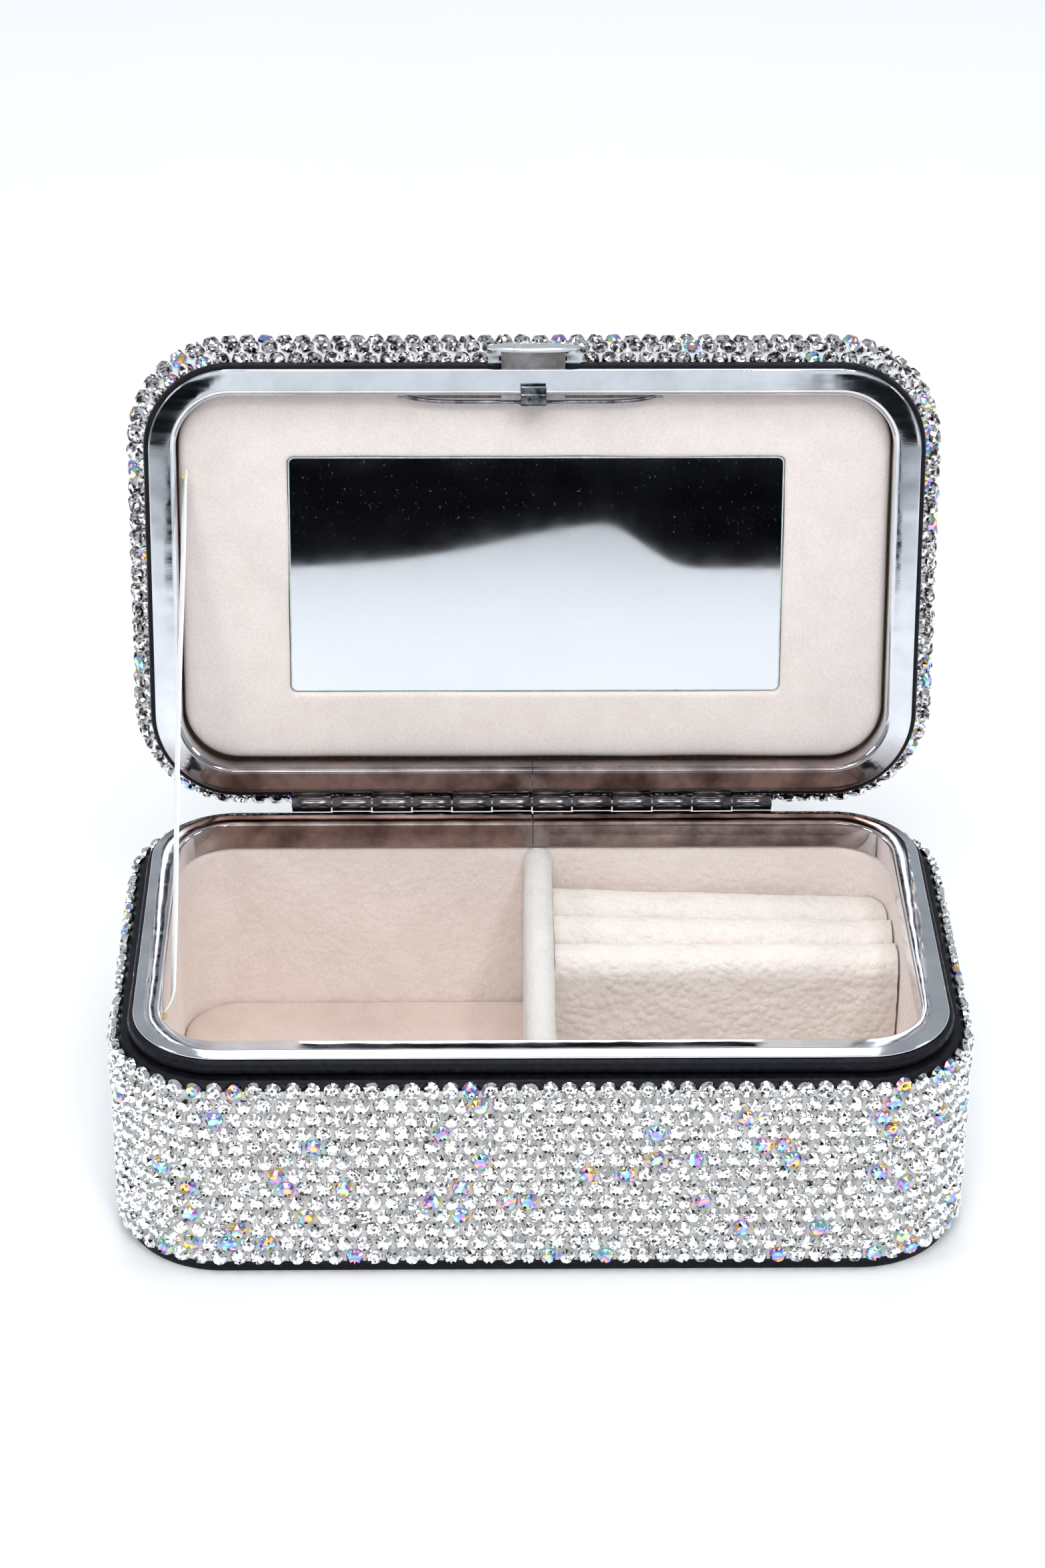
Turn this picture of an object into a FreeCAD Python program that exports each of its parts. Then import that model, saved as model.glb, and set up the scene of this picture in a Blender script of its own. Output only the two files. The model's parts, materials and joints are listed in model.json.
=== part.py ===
import FreeCAD, Part
import math
import os

# Travel trinket box: a leather-covered base and lid, each edged with a chrome frame and skinned
# with rhinestones, joined by a piano hinge and held shut by a spring press-lock. Millimetres.
# +X is to the right, +Y to the back and +Z up. The origin is the centre of the bottom face.
# "Rim" heights are measured from the plane where the two frames meet. Offsets are measured
# outwards from the outer edge of the chrome frame, so that every layer keeps the same corners.

Vector = FreeCAD.Vector

# The chrome frames
FRAME_HALF_X = 72.0
FRAME_HALF_Y = 41.24
FRAME_CORNER = 15.5
FRAME_WIDTH = 5.0
FRAME_SLOPE = 0.44
FRAME_DEPTH = 5.35
FRAME_SHEET = 0.6
FRAME_LIP = 0.95
FRAME_GAP = 0.1
SEAM_X = -0.3
SEAM_GAP = 0.12

# Layers of the side walls, as offsets
STONE_TIP = 4.6
COVER_OUTSIDE = 3.3
SHELL_OUTSIDE = 2.5
NECK_OUTSIDE = -1.4
NECK_INSIDE = -4.3
SHELL_INSIDE = -2.6
LINER_INSIDE = -4.5

# Heights in the base, from the rim down
RIM_HEIGHT = 44.3
NECK_TOP = -1.1
WELT_TOP = -1.0
WELT_BOTTOM = -3.5
WELT_BULGE = 1.0
SHOULDER_TOP = -3.9
SHOULDER_ROUND = 1.8
COVER_SHEET = 0.8
STONES_TOP = -4.4
STONES_BOTTOM = -42.2
COVER_BOTTOM = -42.6
LINER_TOP = -5.65
FLOOR_BOARD_TOP = -41.8
FLOOR_TOP = -40.4
BOTTOM_OFFSET = 3.0

# The lid's rounded edge: every layer turns about one line, from the shoulder over to the top
NOSE_OFFSET = -1.6
NOSE_HEIGHT = 8.8
NOSE_START = math.radians(58)
NOSE_FLAT = 4.0
LID_WRAP_START = math.pi / 2 - 0.05
LID_SHEET = 2.0
LID_WELT_TOP = 2.9
LID_LINER = 5.45
LID_LINER_SHEET = 1.5
LID_BOARD = 7.95
LID_FOAM = 9.2

# The mirror and its cut-out in the lining
MIRROR_CENTRE = (0.3, -0.25)
MIRROR_SIZE = (93.4, 46.1)
MIRROR_RECESS = 0.7
MIRROR_GLASS = 1.8
MIRROR_GAP = 0.1
MIRROR_CORNER = 1.2

# The divider and the three ring rolls
DIVIDER_X = 0.3
DIVIDER_THICKNESS = 5.5
DIVIDER_TOP = -5.6
ROLL_PITCH = 9.7
ROLL_THICKNESS = 9.4
ROLL_FRONT_Y = 11.2
ROLL_TOP = -12.1
ROLL_NAMES = ("front", "middle", "back")

# The piano hinge
HINGE_Y = 43.39
HINGE_Z = 0.23
HINGE_START_X = -46.4
HINGE_LENGTH = 92.0
KNUCKLES = 12
KNUCKLE_GAP = 0.1
KNUCKLE_RADIUS = 1.575
KNUCKLE_BORE = 0.8
PIN_RADIUS = 0.75
LEAF_EDGE_Y = 41.6
LEAF_INNER_Y = 38.0
LEAF_LEVELS = (1.05, 1.5)
HINGE_ROOM = 1.9

# The press-lock
LATCH_X = -0.45
BUTTON_SIZE = (16.8, 5.4)
BUTTON_Y = (-45.5, -44.6)
BUTTON_Z = 2.0
BUTTON_EDGE = 0.25
STEM_WIDTH = 11.9
STEM_Y = (-44.7, -35.2)
STEM_Z = (1.2, 2.1)
CATCH_WIDTH = 4.7
CATCH_Y = (-36.0, -35.0)
CATCH_Z = (-3.4, 3.3)
HOOK_REACH_Y = -38.5
HOOK_TOP_Z = -1.3
LATCH_TRAVEL = 2.4
LATCH_ROOM = 0.3
WIRE_RADIUS = 0.4
WIRE_ENDS_X = (-24.6, 22.8)
WIRE_MIDDLE_Y = -34.55
WIRE_END_Y = -35.72
WIRE_Z = 2.75

# The ribbon that stops the lid
OPEN_ANGLE = 101.67
RIBBON_WIDTH = 5.0
RIBBON_THICKNESS = 0.4
RIBBON_LOWER_X = -66.0
RIBBON_UPPER_X = -65.5
RIBBON_BASE = (-20.0, -6.0)
RIBBON_LID = (62.4, 63.9)
RIBBON_FOLD = 49.9
RIBBON_LAP = 1.0


def corner_centres():
    """The centres of the rim's four round corners, anticlockwise from the back right."""
    x = FRAME_HALF_X - FRAME_CORNER
    y = FRAME_HALF_Y - FRAME_CORNER
    return [Vector(x, y, 0), Vector(-x, y, 0), Vector(-x, -y, 0), Vector(x, -y, 0)]


def rim_outline(offset, z):
    """The frame's outline grown by offset: four quarter circles joined by straight sides."""
    arcs = []
    for quarter, centre in enumerate(corner_centres()):
        angles = [math.radians(90 * quarter + turn) for turn in (0, 45, 90)]
        radius = FRAME_CORNER + offset
        points = [centre + Vector(radius * math.cos(a), radius * math.sin(a), z) for a in angles]
        arcs.append(Part.Arc(*points))
    edges = []
    for arc, following in zip(arcs, arcs[1:] + arcs[:1]):
        edges.append(arc.toShape())
        edges.append(Part.LineSegment(arc.EndPoint, following.StartPoint).toShape())
    return Part.Wire(edges)


def slab(offset, bottom, top):
    """A flat plate with the rim's outline."""
    return Part.Face(rim_outline(offset, bottom)).extrude(Vector(0, 0, top - bottom))


def corner_wire(points, place):
    """A closed wire through points (u, v, radius), each corner rounded by its radius."""
    edges = []
    starts, ends = [], []
    count = len(points)
    for i, (u, v, radius) in enumerate(points):
        here = Vector(u, v, 0)
        back = (Vector(*points[i - 1][:2], 0) - here).normalize()
        on = (Vector(*points[(i + 1) % count][:2], 0) - here).normalize()
        half = back.getAngle(on) / 2
        reach = radius / math.tan(half)
        middle = here + (back + on).normalize() * (radius / math.sin(half) - radius) if radius else here
        starts.append(here + back * reach)
        ends.append(here + on * reach)
        if radius:
            edges.append(Part.Arc(place(starts[i]), place(middle), place(ends[i])).toShape())
    for i in range(count):
        start, end = ends[i - 1], starts[i]
        if start.distanceToPoint(end) > 1e-6:
            edges.append(Part.LineSegment(place(start), place(end)).toShape())
    return Part.Wire(Part.sortEdges(edges)[0])


def swept(wire):
    """A section drawn by at_corner, turned round each corner and drawn along each side."""
    centres = corner_centres()
    up = Vector(0, 0, 1)
    pieces = []
    for quarter, centre in enumerate(centres):
        section = Part.Face(wire)
        section.rotate(Vector(0, 0, 0), up, 90 * quarter)
        section.translate(centre)
        pieces.append(section.revolve(centre, up, 90))
        section.rotate(centre, up, 90)
        pieces.append(section.extrude(centres[(quarter + 1) % 4] - centre))
    return pieces[0].multiFuse(pieces[1:]).removeSplitter()


def at_corner(point):
    """Turns a section's (offset, height) into a place beside a corner's centre."""
    return Vector(FRAME_CORNER + point.x, 0, point.y)


def ring(points):
    """A closed ring with the given section of (offset, height, corner radius)."""
    return swept(corner_wire(points, at_corner))


def nose(inner_radius, outer_radius, start):
    """A skin round the lid's edge and over its top, between two radii about the nose line."""
    def around(radius, angle):
        across = NOSE_OFFSET + radius * math.cos(angle)
        up = NOSE_HEIGHT + radius * math.sin(angle)
        return at_corner(Vector(across, up, 0))

    flat = NOSE_OFFSET - NOSE_FLAT
    turns = (-start, (math.pi / 2 - start) / 2, math.pi / 2)
    outside = Part.Arc(*[around(outer_radius, turn) for turn in turns])
    inside = Part.Arc(*[around(inner_radius, turn) for turn in turns])
    outer_flat = at_corner(Vector(flat, NOSE_HEIGHT + outer_radius, 0))
    inner_flat = at_corner(Vector(flat, NOSE_HEIGHT + inner_radius, 0))
    wire = Part.Wire([
        outside.toShape(),
        Part.LineSegment(outside.EndPoint, outer_flat).toShape(),
        Part.LineSegment(outer_flat, inner_flat).toShape(),
        Part.LineSegment(inner_flat, inside.EndPoint).toShape(),
        inside.toShape(),
        Part.LineSegment(inside.StartPoint, outside.StartPoint).toShape(),
    ])
    top = slab(flat, NOSE_HEIGHT + inner_radius, NOSE_HEIGHT + outer_radius)
    return swept(wire).fuse(top).removeSplitter()


def block(x, y, z):
    """A box between pairs of limits."""
    return Part.makeBox(x[1] - x[0], y[1] - y[0], z[1] - z[0], Vector(x[0], y[0], z[0]))


def around_latch(width, room):
    """The limits in X of something of that width centred on the latch, with room on each side."""
    return (LATCH_X - width / 2 - room, LATCH_X + width / 2 + room)


def rounded_block(x, y, z, radius, axis):
    """A box whose edges along one axis are rounded."""
    box = block(x, y, z)
    along = [e for e in box.Edges if abs(abs(e.tangentAt(e.FirstParameter).dot(axis)) - 1) < 1e-6]
    return box.makeFillet(radius, along)


def frame_section():
    """The folded strip of a chrome frame, face up: a rounded inner wall, a sloping face and a lip."""
    inner = -FRAME_WIDTH
    back = inner + FRAME_SHEET
    return [
        (inner, -FRAME_DEPTH, 0.15),
        (inner, 0.0, 1.0),
        (0.0, -FRAME_SLOPE, 0.25),
        (0.0, -FRAME_LIP, 0.1),
        (-0.45, -FRAME_LIP, 0.0),
        (back, -FRAME_SHEET - 0.05, 0.4),
        (back, -FRAME_DEPTH, 0.15),
    ]


def open_seam(frame):
    """The strip's two ends meet at the back with a hairline gap."""
    gap = (SEAM_X - SEAM_GAP / 2, SEAM_X + SEAM_GAP / 2)
    return frame.cut(block(gap, (FRAME_HALF_Y - 8, FRAME_HALF_Y + 2), (-8, 8)))


def latch_hole():
    """The room in the base's rim for the hook, at rest and pressed."""
    depth = (HOOK_REACH_Y - LATCH_ROOM, CATCH_Y[1])
    return block(around_latch(CATCH_WIDTH, LATCH_ROOM), depth, (-4.0, HOOK_TOP_Z + 0.1))


def base_frame():
    return open_seam(ring(frame_section())).cut(latch_hole())


def leaf_slot(sign):
    """The slot that a hinge leaf lies in, below the base's frame or above the lid's."""
    near, far = LEAF_LEVELS
    levels = sorted((sign * (near - 0.1), sign * (far + 0.05)))
    along = (HINGE_START_X - 0.1, HINGE_START_X + HINGE_LENGTH + 0.1)
    return block(along, (LEAF_INNER_Y - 0.1, FRAME_HALF_Y + 6), levels)


def hinge_clearance():
    """A cylinder round the barrel that the padded edges stay out of."""
    start = Vector(HINGE_START_X - 0.6, HINGE_Y, HINGE_Z)
    return Part.makeCylinder(HINGE_ROOM, HINGE_LENGTH + 1.2, start, Vector(1, 0, 0))


def base_welt():
    section = [
        (NECK_OUTSIDE, WELT_TOP, 0.0),
        (WELT_BULGE, WELT_TOP, 1.0),
        (WELT_BULGE, WELT_BOTTOM, 1.1),
        (NECK_OUTSIDE, WELT_BOTTOM, 0.0),
    ]
    return ring(section).cut(leaf_slot(-1)).cut(hinge_clearance())


def base_shell():
    shoulder = SHOULDER_TOP - COVER_SHEET
    section = [
        (SHELL_OUTSIDE, COVER_BOTTOM, 0.0),
        (SHELL_OUTSIDE, shoulder, SHOULDER_ROUND - COVER_SHEET),
        (NECK_OUTSIDE, shoulder, 0.0),
        (NECK_OUTSIDE, NECK_TOP, 0.0),
        (NECK_INSIDE, NECK_TOP, 0.0),
        (NECK_INSIDE, LINER_TOP, 0.0),
        (SHELL_INSIDE, LINER_TOP, 0.0),
        (SHELL_INSIDE, COVER_BOTTOM, 0.0),
    ]
    return ring(section).cut(leaf_slot(-1)).cut(latch_hole())


def base_cover():
    section = [
        (COVER_OUTSIDE, COVER_BOTTOM, 0.0),
        (COVER_OUTSIDE, SHOULDER_TOP, SHOULDER_ROUND),
        (NECK_OUTSIDE, SHOULDER_TOP, 0.0),
        (NECK_OUTSIDE, SHOULDER_TOP - COVER_SHEET, 0.0),
        (SHELL_OUTSIDE, SHOULDER_TOP - COVER_SHEET, SHOULDER_ROUND - COVER_SHEET),
        (SHELL_OUTSIDE, COVER_BOTTOM, 0.0),
    ]
    return ring(section)


def base_rhinestones():
    return ring([
        (COVER_OUTSIDE, STONES_BOTTOM, 0.0),
        (STONE_TIP, STONES_BOTTOM, 0.5),
        (STONE_TIP, STONES_TOP, 1.1),
        (COVER_OUTSIDE, STONES_TOP, 0.0),
    ])


def base_liner():
    outside = slab(SHELL_INSIDE, FLOOR_BOARD_TOP, LINER_TOP)
    return outside.cut(slab(LINER_INSIDE, FLOOR_BOARD_TOP - 1, LINER_TOP + 1))


def divider():
    half_y = FRAME_HALF_Y + LINER_INSIDE
    x = (DIVIDER_X - DIVIDER_THICKNESS / 2, DIVIDER_X + DIVIDER_THICKNESS / 2)
    bar = block(x, (-half_y, half_y), (FLOOR_TOP, DIVIDER_TOP))
    top = [e for e in bar.Edges if e.BoundBox.ZMin > DIVIDER_TOP - 0.1 and e.BoundBox.YLength > 1]
    return bar.makeFillet(DIVIDER_THICKNESS / 2 - 0.3, top)


def ring_roll(index):
    """One padded roll, fitted to the rounded end of the compartment."""
    middle = ROLL_FRONT_Y + index * ROLL_PITCH
    x = (DIVIDER_X + DIVIDER_THICKNESS / 2 + 0.05, FRAME_HALF_X)
    y = (middle - ROLL_THICKNESS / 2, middle + ROLL_THICKNESS / 2)
    roll = block(x, y, (FLOOR_TOP, ROLL_TOP))
    top = [e for e in roll.Edges if e.BoundBox.ZMin > ROLL_TOP - 0.1 and e.BoundBox.XLength > 1]
    roll = roll.makeFillet(ROLL_THICKNESS / 2 - 0.2, top)
    return roll.common(slab(LINER_INSIDE - 0.05, FLOOR_TOP - 1, ROLL_TOP + 1))


def knuckle_span(index):
    """Where one knuckle starts and ends along the hinge."""
    pitch = HINGE_LENGTH / KNUCKLES
    start = HINGE_START_X + index * pitch
    return (start + KNUCKLE_GAP / 2, start + pitch - KNUCKLE_GAP / 2)


def hinge_leaf(first, sign):
    """A leaf with every second knuckle curled from it, seen with the box closed."""
    levels = sorted(sign * level for level in LEAF_LEVELS)
    leaf = block((HINGE_START_X, HINGE_START_X + HINGE_LENGTH), (LEAF_INNER_Y, LEAF_EDGE_Y), levels)
    for index in range(first, KNUCKLES, 2):
        x = knuckle_span(index)
        axis = Vector(x[0], HINGE_Y, HINGE_Z)
        leaf = leaf.fuse(block(x, (LEAF_EDGE_Y - 0.5, HINGE_Y), levels))
        leaf = leaf.fuse(Part.makeCylinder(KNUCKLE_RADIUS, x[1] - x[0], axis, Vector(1, 0, 0)))
    bore_start = Vector(HINGE_START_X - 1, HINGE_Y, HINGE_Z)
    bore = Part.makeCylinder(KNUCKLE_BORE, HINGE_LENGTH + 2, bore_start, Vector(1, 0, 0))
    return leaf.cut(bore).removeSplitter()


def hinge_pin():
    start = Vector(HINGE_START_X, HINGE_Y, HINGE_Z)
    return Part.makeCylinder(PIN_RADIUS, HINGE_LENGTH, start, Vector(1, 0, 0))


def upside_down(shape):
    """The lid's version of a rim part: turned over, clear of the base's by the gap."""
    shape = shape.mirror(Vector(0, 0, 0), Vector(0, 0, 1))
    shape.translate(Vector(0, 0, FRAME_GAP))
    return shape


def button_pocket():
    """The recess in the lid's edge that the button is pressed into."""
    return block(around_latch(BUTTON_SIZE[0], 0.8), (-60, BUTTON_Y[1] + LATCH_TRAVEL + 0.3), (-3, 5.3))


def stem_slot():
    """The slot through the lid's front that the stem slides in."""
    return block(around_latch(STEM_WIDTH, 0.2), (-60, -34), (STEM_Z[0] - 0.08, STEM_Z[1] + 0.08))


def lid_frame():
    return open_seam(upside_down(ring(frame_section()))).cut(stem_slot())


def lid_welt():
    section = [
        (NECK_OUTSIDE, FRAME_GAP - WELT_TOP, 0.0),
        (WELT_BULGE, FRAME_GAP - WELT_TOP, 0.85),
        (WELT_BULGE, LID_WELT_TOP, 0.8),
        (NECK_OUTSIDE, LID_WELT_TOP, 0.0),
    ]
    return ring(section).cut(leaf_slot(1)).cut(hinge_clearance()).cut(button_pocket()).cut(stem_slot())


def lid_shell():
    """A shallow tray: a neck in the frame, a rounded wall and the top."""
    outer = SHELL_OUTSIDE - NOSE_OFFSET
    foot = NOSE_HEIGHT - outer
    neck = ring([
        (NECK_OUTSIDE, FRAME_GAP - NECK_TOP, 0.0),
        (NECK_OUTSIDE, foot + 1.0, 0.0),
        (NECK_INSIDE, foot + 1.0, 0.0),
        (NECK_INSIDE, FRAME_GAP - NECK_TOP, 0.0),
    ])
    wall = nose(outer - LID_SHEET, outer, LID_WRAP_START)
    return neck.fuse(wall).removeSplitter().cut(leaf_slot(1)).cut(button_pocket()).cut(stem_slot())


def lid_cover():
    outer = COVER_OUTSIDE - NOSE_OFFSET
    return nose(SHELL_OUTSIDE - NOSE_OFFSET, outer, LID_WRAP_START).cut(button_pocket())


def lid_rhinestones():
    return nose(COVER_OUTSIDE - NOSE_OFFSET, STONE_TIP - NOSE_OFFSET, NOSE_START).cut(button_pocket())


def mirror_block(gap, bottom, top):
    """The mirror's outline grown by a gap, between two heights."""
    (x, y), (width, depth) = MIRROR_CENTRE, MIRROR_SIZE
    limits_x = (x - width / 2 - gap, x + width / 2 + gap)
    limits_y = (y - depth / 2 - gap, y + depth / 2 + gap)
    return rounded_block(limits_x, limits_y, (bottom, top), MIRROR_CORNER + gap, Vector(0, 0, 1))


def lid_liner_panel():
    panel = slab(-FRAME_WIDTH - 0.1, LID_LINER, LID_BOARD)
    return panel.cut(mirror_block(MIRROR_GAP, LID_LINER - 1, LID_BOARD + 1))


def lid_mirror():
    bottom = LID_LINER + MIRROR_RECESS
    return mirror_block(0, bottom, bottom + MIRROR_GLASS)


def latch_retainer():
    """A strip behind the spring wire, against the lid's front wall."""
    return block((WIRE_ENDS_X[0] - 1, WIRE_ENDS_X[1] + 1), (-36.15, -34.9), (4.7, 5.3))


def latch_button():
    """An oval thumb plate on a flat stem."""
    width, height = BUTTON_SIZE
    oval = Part.Ellipse(Vector(0, 0, 0), width / 2, height / 2).toShape()
    oval.rotate(Vector(0, 0, 0), Vector(1, 0, 0), 90)
    oval.translate(Vector(LATCH_X, BUTTON_Y[0], BUTTON_Z))
    plate = Part.Face(Part.Wire(oval)).extrude(Vector(0, BUTTON_Y[1] - BUTTON_Y[0], 0))
    rims = [e for e in plate.Edges if e.BoundBox.YMax < BUTTON_Y[0] + 0.01]
    return plate.makeFillet(BUTTON_EDGE, rims).fuse(stem_block())


def latch_catch():
    """The hook: a tab down past both rims with a sloping nose that reaches under the base's rim."""
    section = [
        (CATCH_Y[0], CATCH_Z[1], 0.0),
        (CATCH_Y[1], CATCH_Z[1], 0.0),
        (CATCH_Y[1], CATCH_Z[0], 0.9),
        (HOOK_REACH_Y + 1.2, CATCH_Z[0], 0.6),
        (HOOK_REACH_Y, HOOK_TOP_Z - 0.9, 0.3),
        (HOOK_REACH_Y, HOOK_TOP_Z, 0.2),
        (CATCH_Y[0], HOOK_TOP_Z, 0.3),
    ]
    x = around_latch(CATCH_WIDTH, 0)
    wire = corner_wire(section, lambda point: Vector(x[0], point.x, point.y))
    hook = Part.Face(wire).extrude(Vector(CATCH_WIDTH, 0, 0))
    return hook.cut(stem_block())


def stem_block():
    """The stem's own space, which the catch is notched round."""
    return block(around_latch(STEM_WIDTH, 0), STEM_Y, STEM_Z)


def latch_spring_wire():
    """A bowed wire whose ends turn in towards the lid's front wall."""
    left, right = WIRE_ENDS_X
    bend = 2.6
    points = [
        Vector(left + 0.4, WIRE_END_Y, WIRE_Z),
        Vector(left + bend, WIRE_MIDDLE_Y - 0.25, WIRE_Z),
        Vector(LATCH_X, WIRE_MIDDLE_Y, WIRE_Z),
        Vector(right - bend, WIRE_MIDDLE_Y - 0.25, WIRE_Z),
        Vector(right - 0.4, WIRE_END_Y, WIRE_Z),
    ]
    pieces = []
    for start, end in zip(points, points[1:]):
        pieces.append(Part.makeCylinder(WIRE_RADIUS, start.distanceToPoint(end), start, end - start))
        pieces.append(Part.makeSphere(WIRE_RADIUS, end))
    pieces.append(Part.makeSphere(WIRE_RADIUS, points[0]))
    return pieces[0].multiFuse(pieces[1:]).removeSplitter()


def ribbon_length():
    return math.hypot(RIBBON_LID[0] - RIBBON_BASE[0], RIBBON_LID[1] - RIBBON_BASE[1])


def ribbon_strip(x, start, end):
    """A stretch of the taut ribbon, edge-on to the front, between two distances from its lower end."""
    run = Vector(0, RIBBON_LID[0] - RIBBON_BASE[0], RIBBON_LID[1] - RIBBON_BASE[1]).normalize()
    side = Vector(1, 0, 0).cross(run) * (RIBBON_WIDTH / 2)
    near = Vector(x, *RIBBON_BASE) + run * start
    far = Vector(x, *RIBBON_BASE) + run * end
    outline = Part.makePolygon([near - side, far - side, far + side, near + side, near - side])
    return Part.Face(outline).extrude(Vector(RIBBON_THICKNESS, 0, 0))


def lining():
    """The space of the lid's lining, where the ribbon's end is glued in."""
    return slab(-FRAME_WIDTH, LID_LINER - 0.05, LID_BOARD)


def upper_ribbon():
    """From the fold up to the lining's face."""
    strip = ribbon_strip(RIBBON_UPPER_X, RIBBON_FOLD - RIBBON_LAP, ribbon_length())
    return strip.cut(opened(lining()))


def opened(shape):
    """Swings a part of the closed lid back to the open position."""
    shape.rotate(Vector(0, HINGE_Y, HINGE_Z), Vector(1, 0, 0), -OPEN_ANGLE)
    return shape


base_parts = {
    "base_frame": base_frame(),
    "base_welt": base_welt(),
    "base_shell": base_shell(),
    "base_cover": base_cover(),
    "base_rhinestones": base_rhinestones(),
    "base_liner": base_liner(),
    "floor_board": slab(SHELL_INSIDE, COVER_BOTTOM, FLOOR_BOARD_TOP),
    "floor_pad": slab(LINER_INSIDE, FLOOR_BOARD_TOP, FLOOR_TOP),
    "bottom_panel": slab(BOTTOM_OFFSET, -RIM_HEIGHT, COVER_BOTTOM),
    "divider": divider(),
    "hinge_leaf_base": hinge_leaf(1, -1),
    "hinge_pin": hinge_pin(),
    "stay_ribbon_lower": ribbon_strip(RIBBON_LOWER_X, 0, RIBBON_FOLD + RIBBON_LAP),
    "stay_ribbon_upper": upper_ribbon(),
}
for number, name in enumerate(ROLL_NAMES):
    base_parts["ring_roll_" + name] = ring_roll(number)

lid_parts = {
    "lid_frame": lid_frame(),
    "lid_welt": lid_welt(),
    "lid_shell": lid_shell(),
    "lid_cover": lid_cover(),
    "lid_rhinestones": lid_rhinestones(),
    "lid_liner_panel": lid_liner_panel(),
    "lid_mirror": lid_mirror(),
    "lid_backing_board": slab(-FRAME_WIDTH - 0.1, LID_BOARD, LID_FOAM),
    "lid_foam_pad": slab(-FRAME_WIDTH - 0.1, LID_FOAM, NOSE_HEIGHT + SHELL_OUTSIDE - NOSE_OFFSET - LID_SHEET),
    "hinge_leaf_lid": hinge_leaf(0, 1),
    "latch_retainer": latch_retainer(),
    "latch_button": latch_button(),
    "latch_catch": latch_catch(),
    "latch_spring_wire": latch_spring_wire(),
}

os.makedirs("parts", exist_ok=True)
nodes = dict(base_parts)
nodes.update((name, opened(shape)) for name, shape in lid_parts.items())
for name, shape in nodes.items():
    shape.translate(Vector(0, 0, RIM_HEIGHT))
    if not shape.isValid() or len(shape.Solids) != 1:
        raise RuntimeError(name + " is not one valid solid")
    shape.Solids[0].exportStep("parts/" + name + ".step")
    print(name, round(shape.Volume, 1), "mm3")
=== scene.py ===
import json
import math

import bmesh
import bpy
import numpy as np
from mathutils import Matrix, Vector, noise


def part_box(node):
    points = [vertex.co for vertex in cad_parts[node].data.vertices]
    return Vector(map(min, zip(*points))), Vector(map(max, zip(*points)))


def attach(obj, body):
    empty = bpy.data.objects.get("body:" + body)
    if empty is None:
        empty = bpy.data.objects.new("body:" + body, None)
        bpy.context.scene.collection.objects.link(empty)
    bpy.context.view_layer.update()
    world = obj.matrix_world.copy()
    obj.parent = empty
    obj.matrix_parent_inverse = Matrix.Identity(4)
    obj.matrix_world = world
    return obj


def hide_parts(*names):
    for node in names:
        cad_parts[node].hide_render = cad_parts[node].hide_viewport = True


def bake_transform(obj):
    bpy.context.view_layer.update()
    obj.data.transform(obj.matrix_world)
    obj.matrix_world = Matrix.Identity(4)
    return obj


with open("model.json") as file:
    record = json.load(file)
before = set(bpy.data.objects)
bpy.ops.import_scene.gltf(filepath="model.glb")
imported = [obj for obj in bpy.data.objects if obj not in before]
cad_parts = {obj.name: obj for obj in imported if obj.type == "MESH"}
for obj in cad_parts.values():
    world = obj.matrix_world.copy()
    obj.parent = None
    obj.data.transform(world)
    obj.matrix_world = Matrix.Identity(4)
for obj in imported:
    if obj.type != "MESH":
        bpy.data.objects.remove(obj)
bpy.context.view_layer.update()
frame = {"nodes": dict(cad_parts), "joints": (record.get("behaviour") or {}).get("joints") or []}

# Lengths are in millimetres until a piece is placed. Heights are from the plane where the two
# frames meet, and lid pieces are drawn with the lid closed. Offsets are outwards from the
# chrome frame's outer edge, as in the CAD source.
MM = 0.001
HINGE_JOINT = next(j for j in frame["joints"] if j["name"] == "lid_hinge")
HINGE = Vector(HINGE_JOINT["pos_m"])
HINGE_Y = HINGE.y / MM
HINGE_Z = 0.23
OPEN_ANGLE = math.radians(HINGE_JOINT["range_deg"][1])
RIM_HEIGHT = HINGE.z / MM - HINGE_Z
HALF_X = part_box("base_frame")[1].x / MM
HALF_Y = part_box("base_frame")[1].y / MM
CORNER = 15.5

# The chrome frames: one folded strip each.
FRAME_WIDTH = 5.0
FRAME_SLOPE = 0.44
FRAME_DEPTH = 5.35
FRAME_SHEET = 0.6
FRAME_LIP = 0.95
FRAME_CROWN = 0.08
FRAME_GAP = 0.1
SEAM_X = -0.3
SEAM_GAP = 0.2

# The base's layers.
COVER_OUTSIDE = 3.3
COVER_BOTTOM = -42.6
COVER_SHEET = 0.8
NECK_OUTSIDE = -1.4
SHOULDER_TOP = -3.9
SHOULDER_ROUND = 1.8
LINER_OUTSIDE = -2.7
LINER_INSIDE = -4.5
LINER_TOP = -5.65
FLOOR_BOTTOM = -41.8
FLOOR_TOP = -40.4
FLOOR_SEAM = 0.25

# The padded pieces in the tray.
SOFT_STEP = 0.8
DIVIDER_X = 0.3
DIVIDER_HALF = 2.65
DIVIDER_LEAN = 0.35
ROLL_LEFT = 3.4
ROLL_FIRST = 11.2
ROLL_PITCH = 9.7
ROLL_HALF = 4.6
ROLL_TOP = -12.2
ROLL_GAP = 0.35
ROLL_DROPS = {"front": 0.2, "middle": 1.3, "back": 2.3}
ROLL_STILL = -30
ROLL_MOVING = 18

# The lid's rolled edge, an arc round a line inside it, and the layers behind its velvet.
NOSE_OFFSET = -1.6
NOSE_HEIGHT = 8.8
NOSE_COVER = 4.9
NOSE_FLAP = 5
LID_LINER = 5.45
LID_BOARD = 7.95
LID_FOAM = 9.2
LID_FOAM_TOP = 10.9
MIRROR_CENTRE = (0.3, -0.25)
MIRROR_HALF = (46.7, 23.05)
MIRROR_SUNK = 0.7
MIRROR_THICK = 1.8

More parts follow.
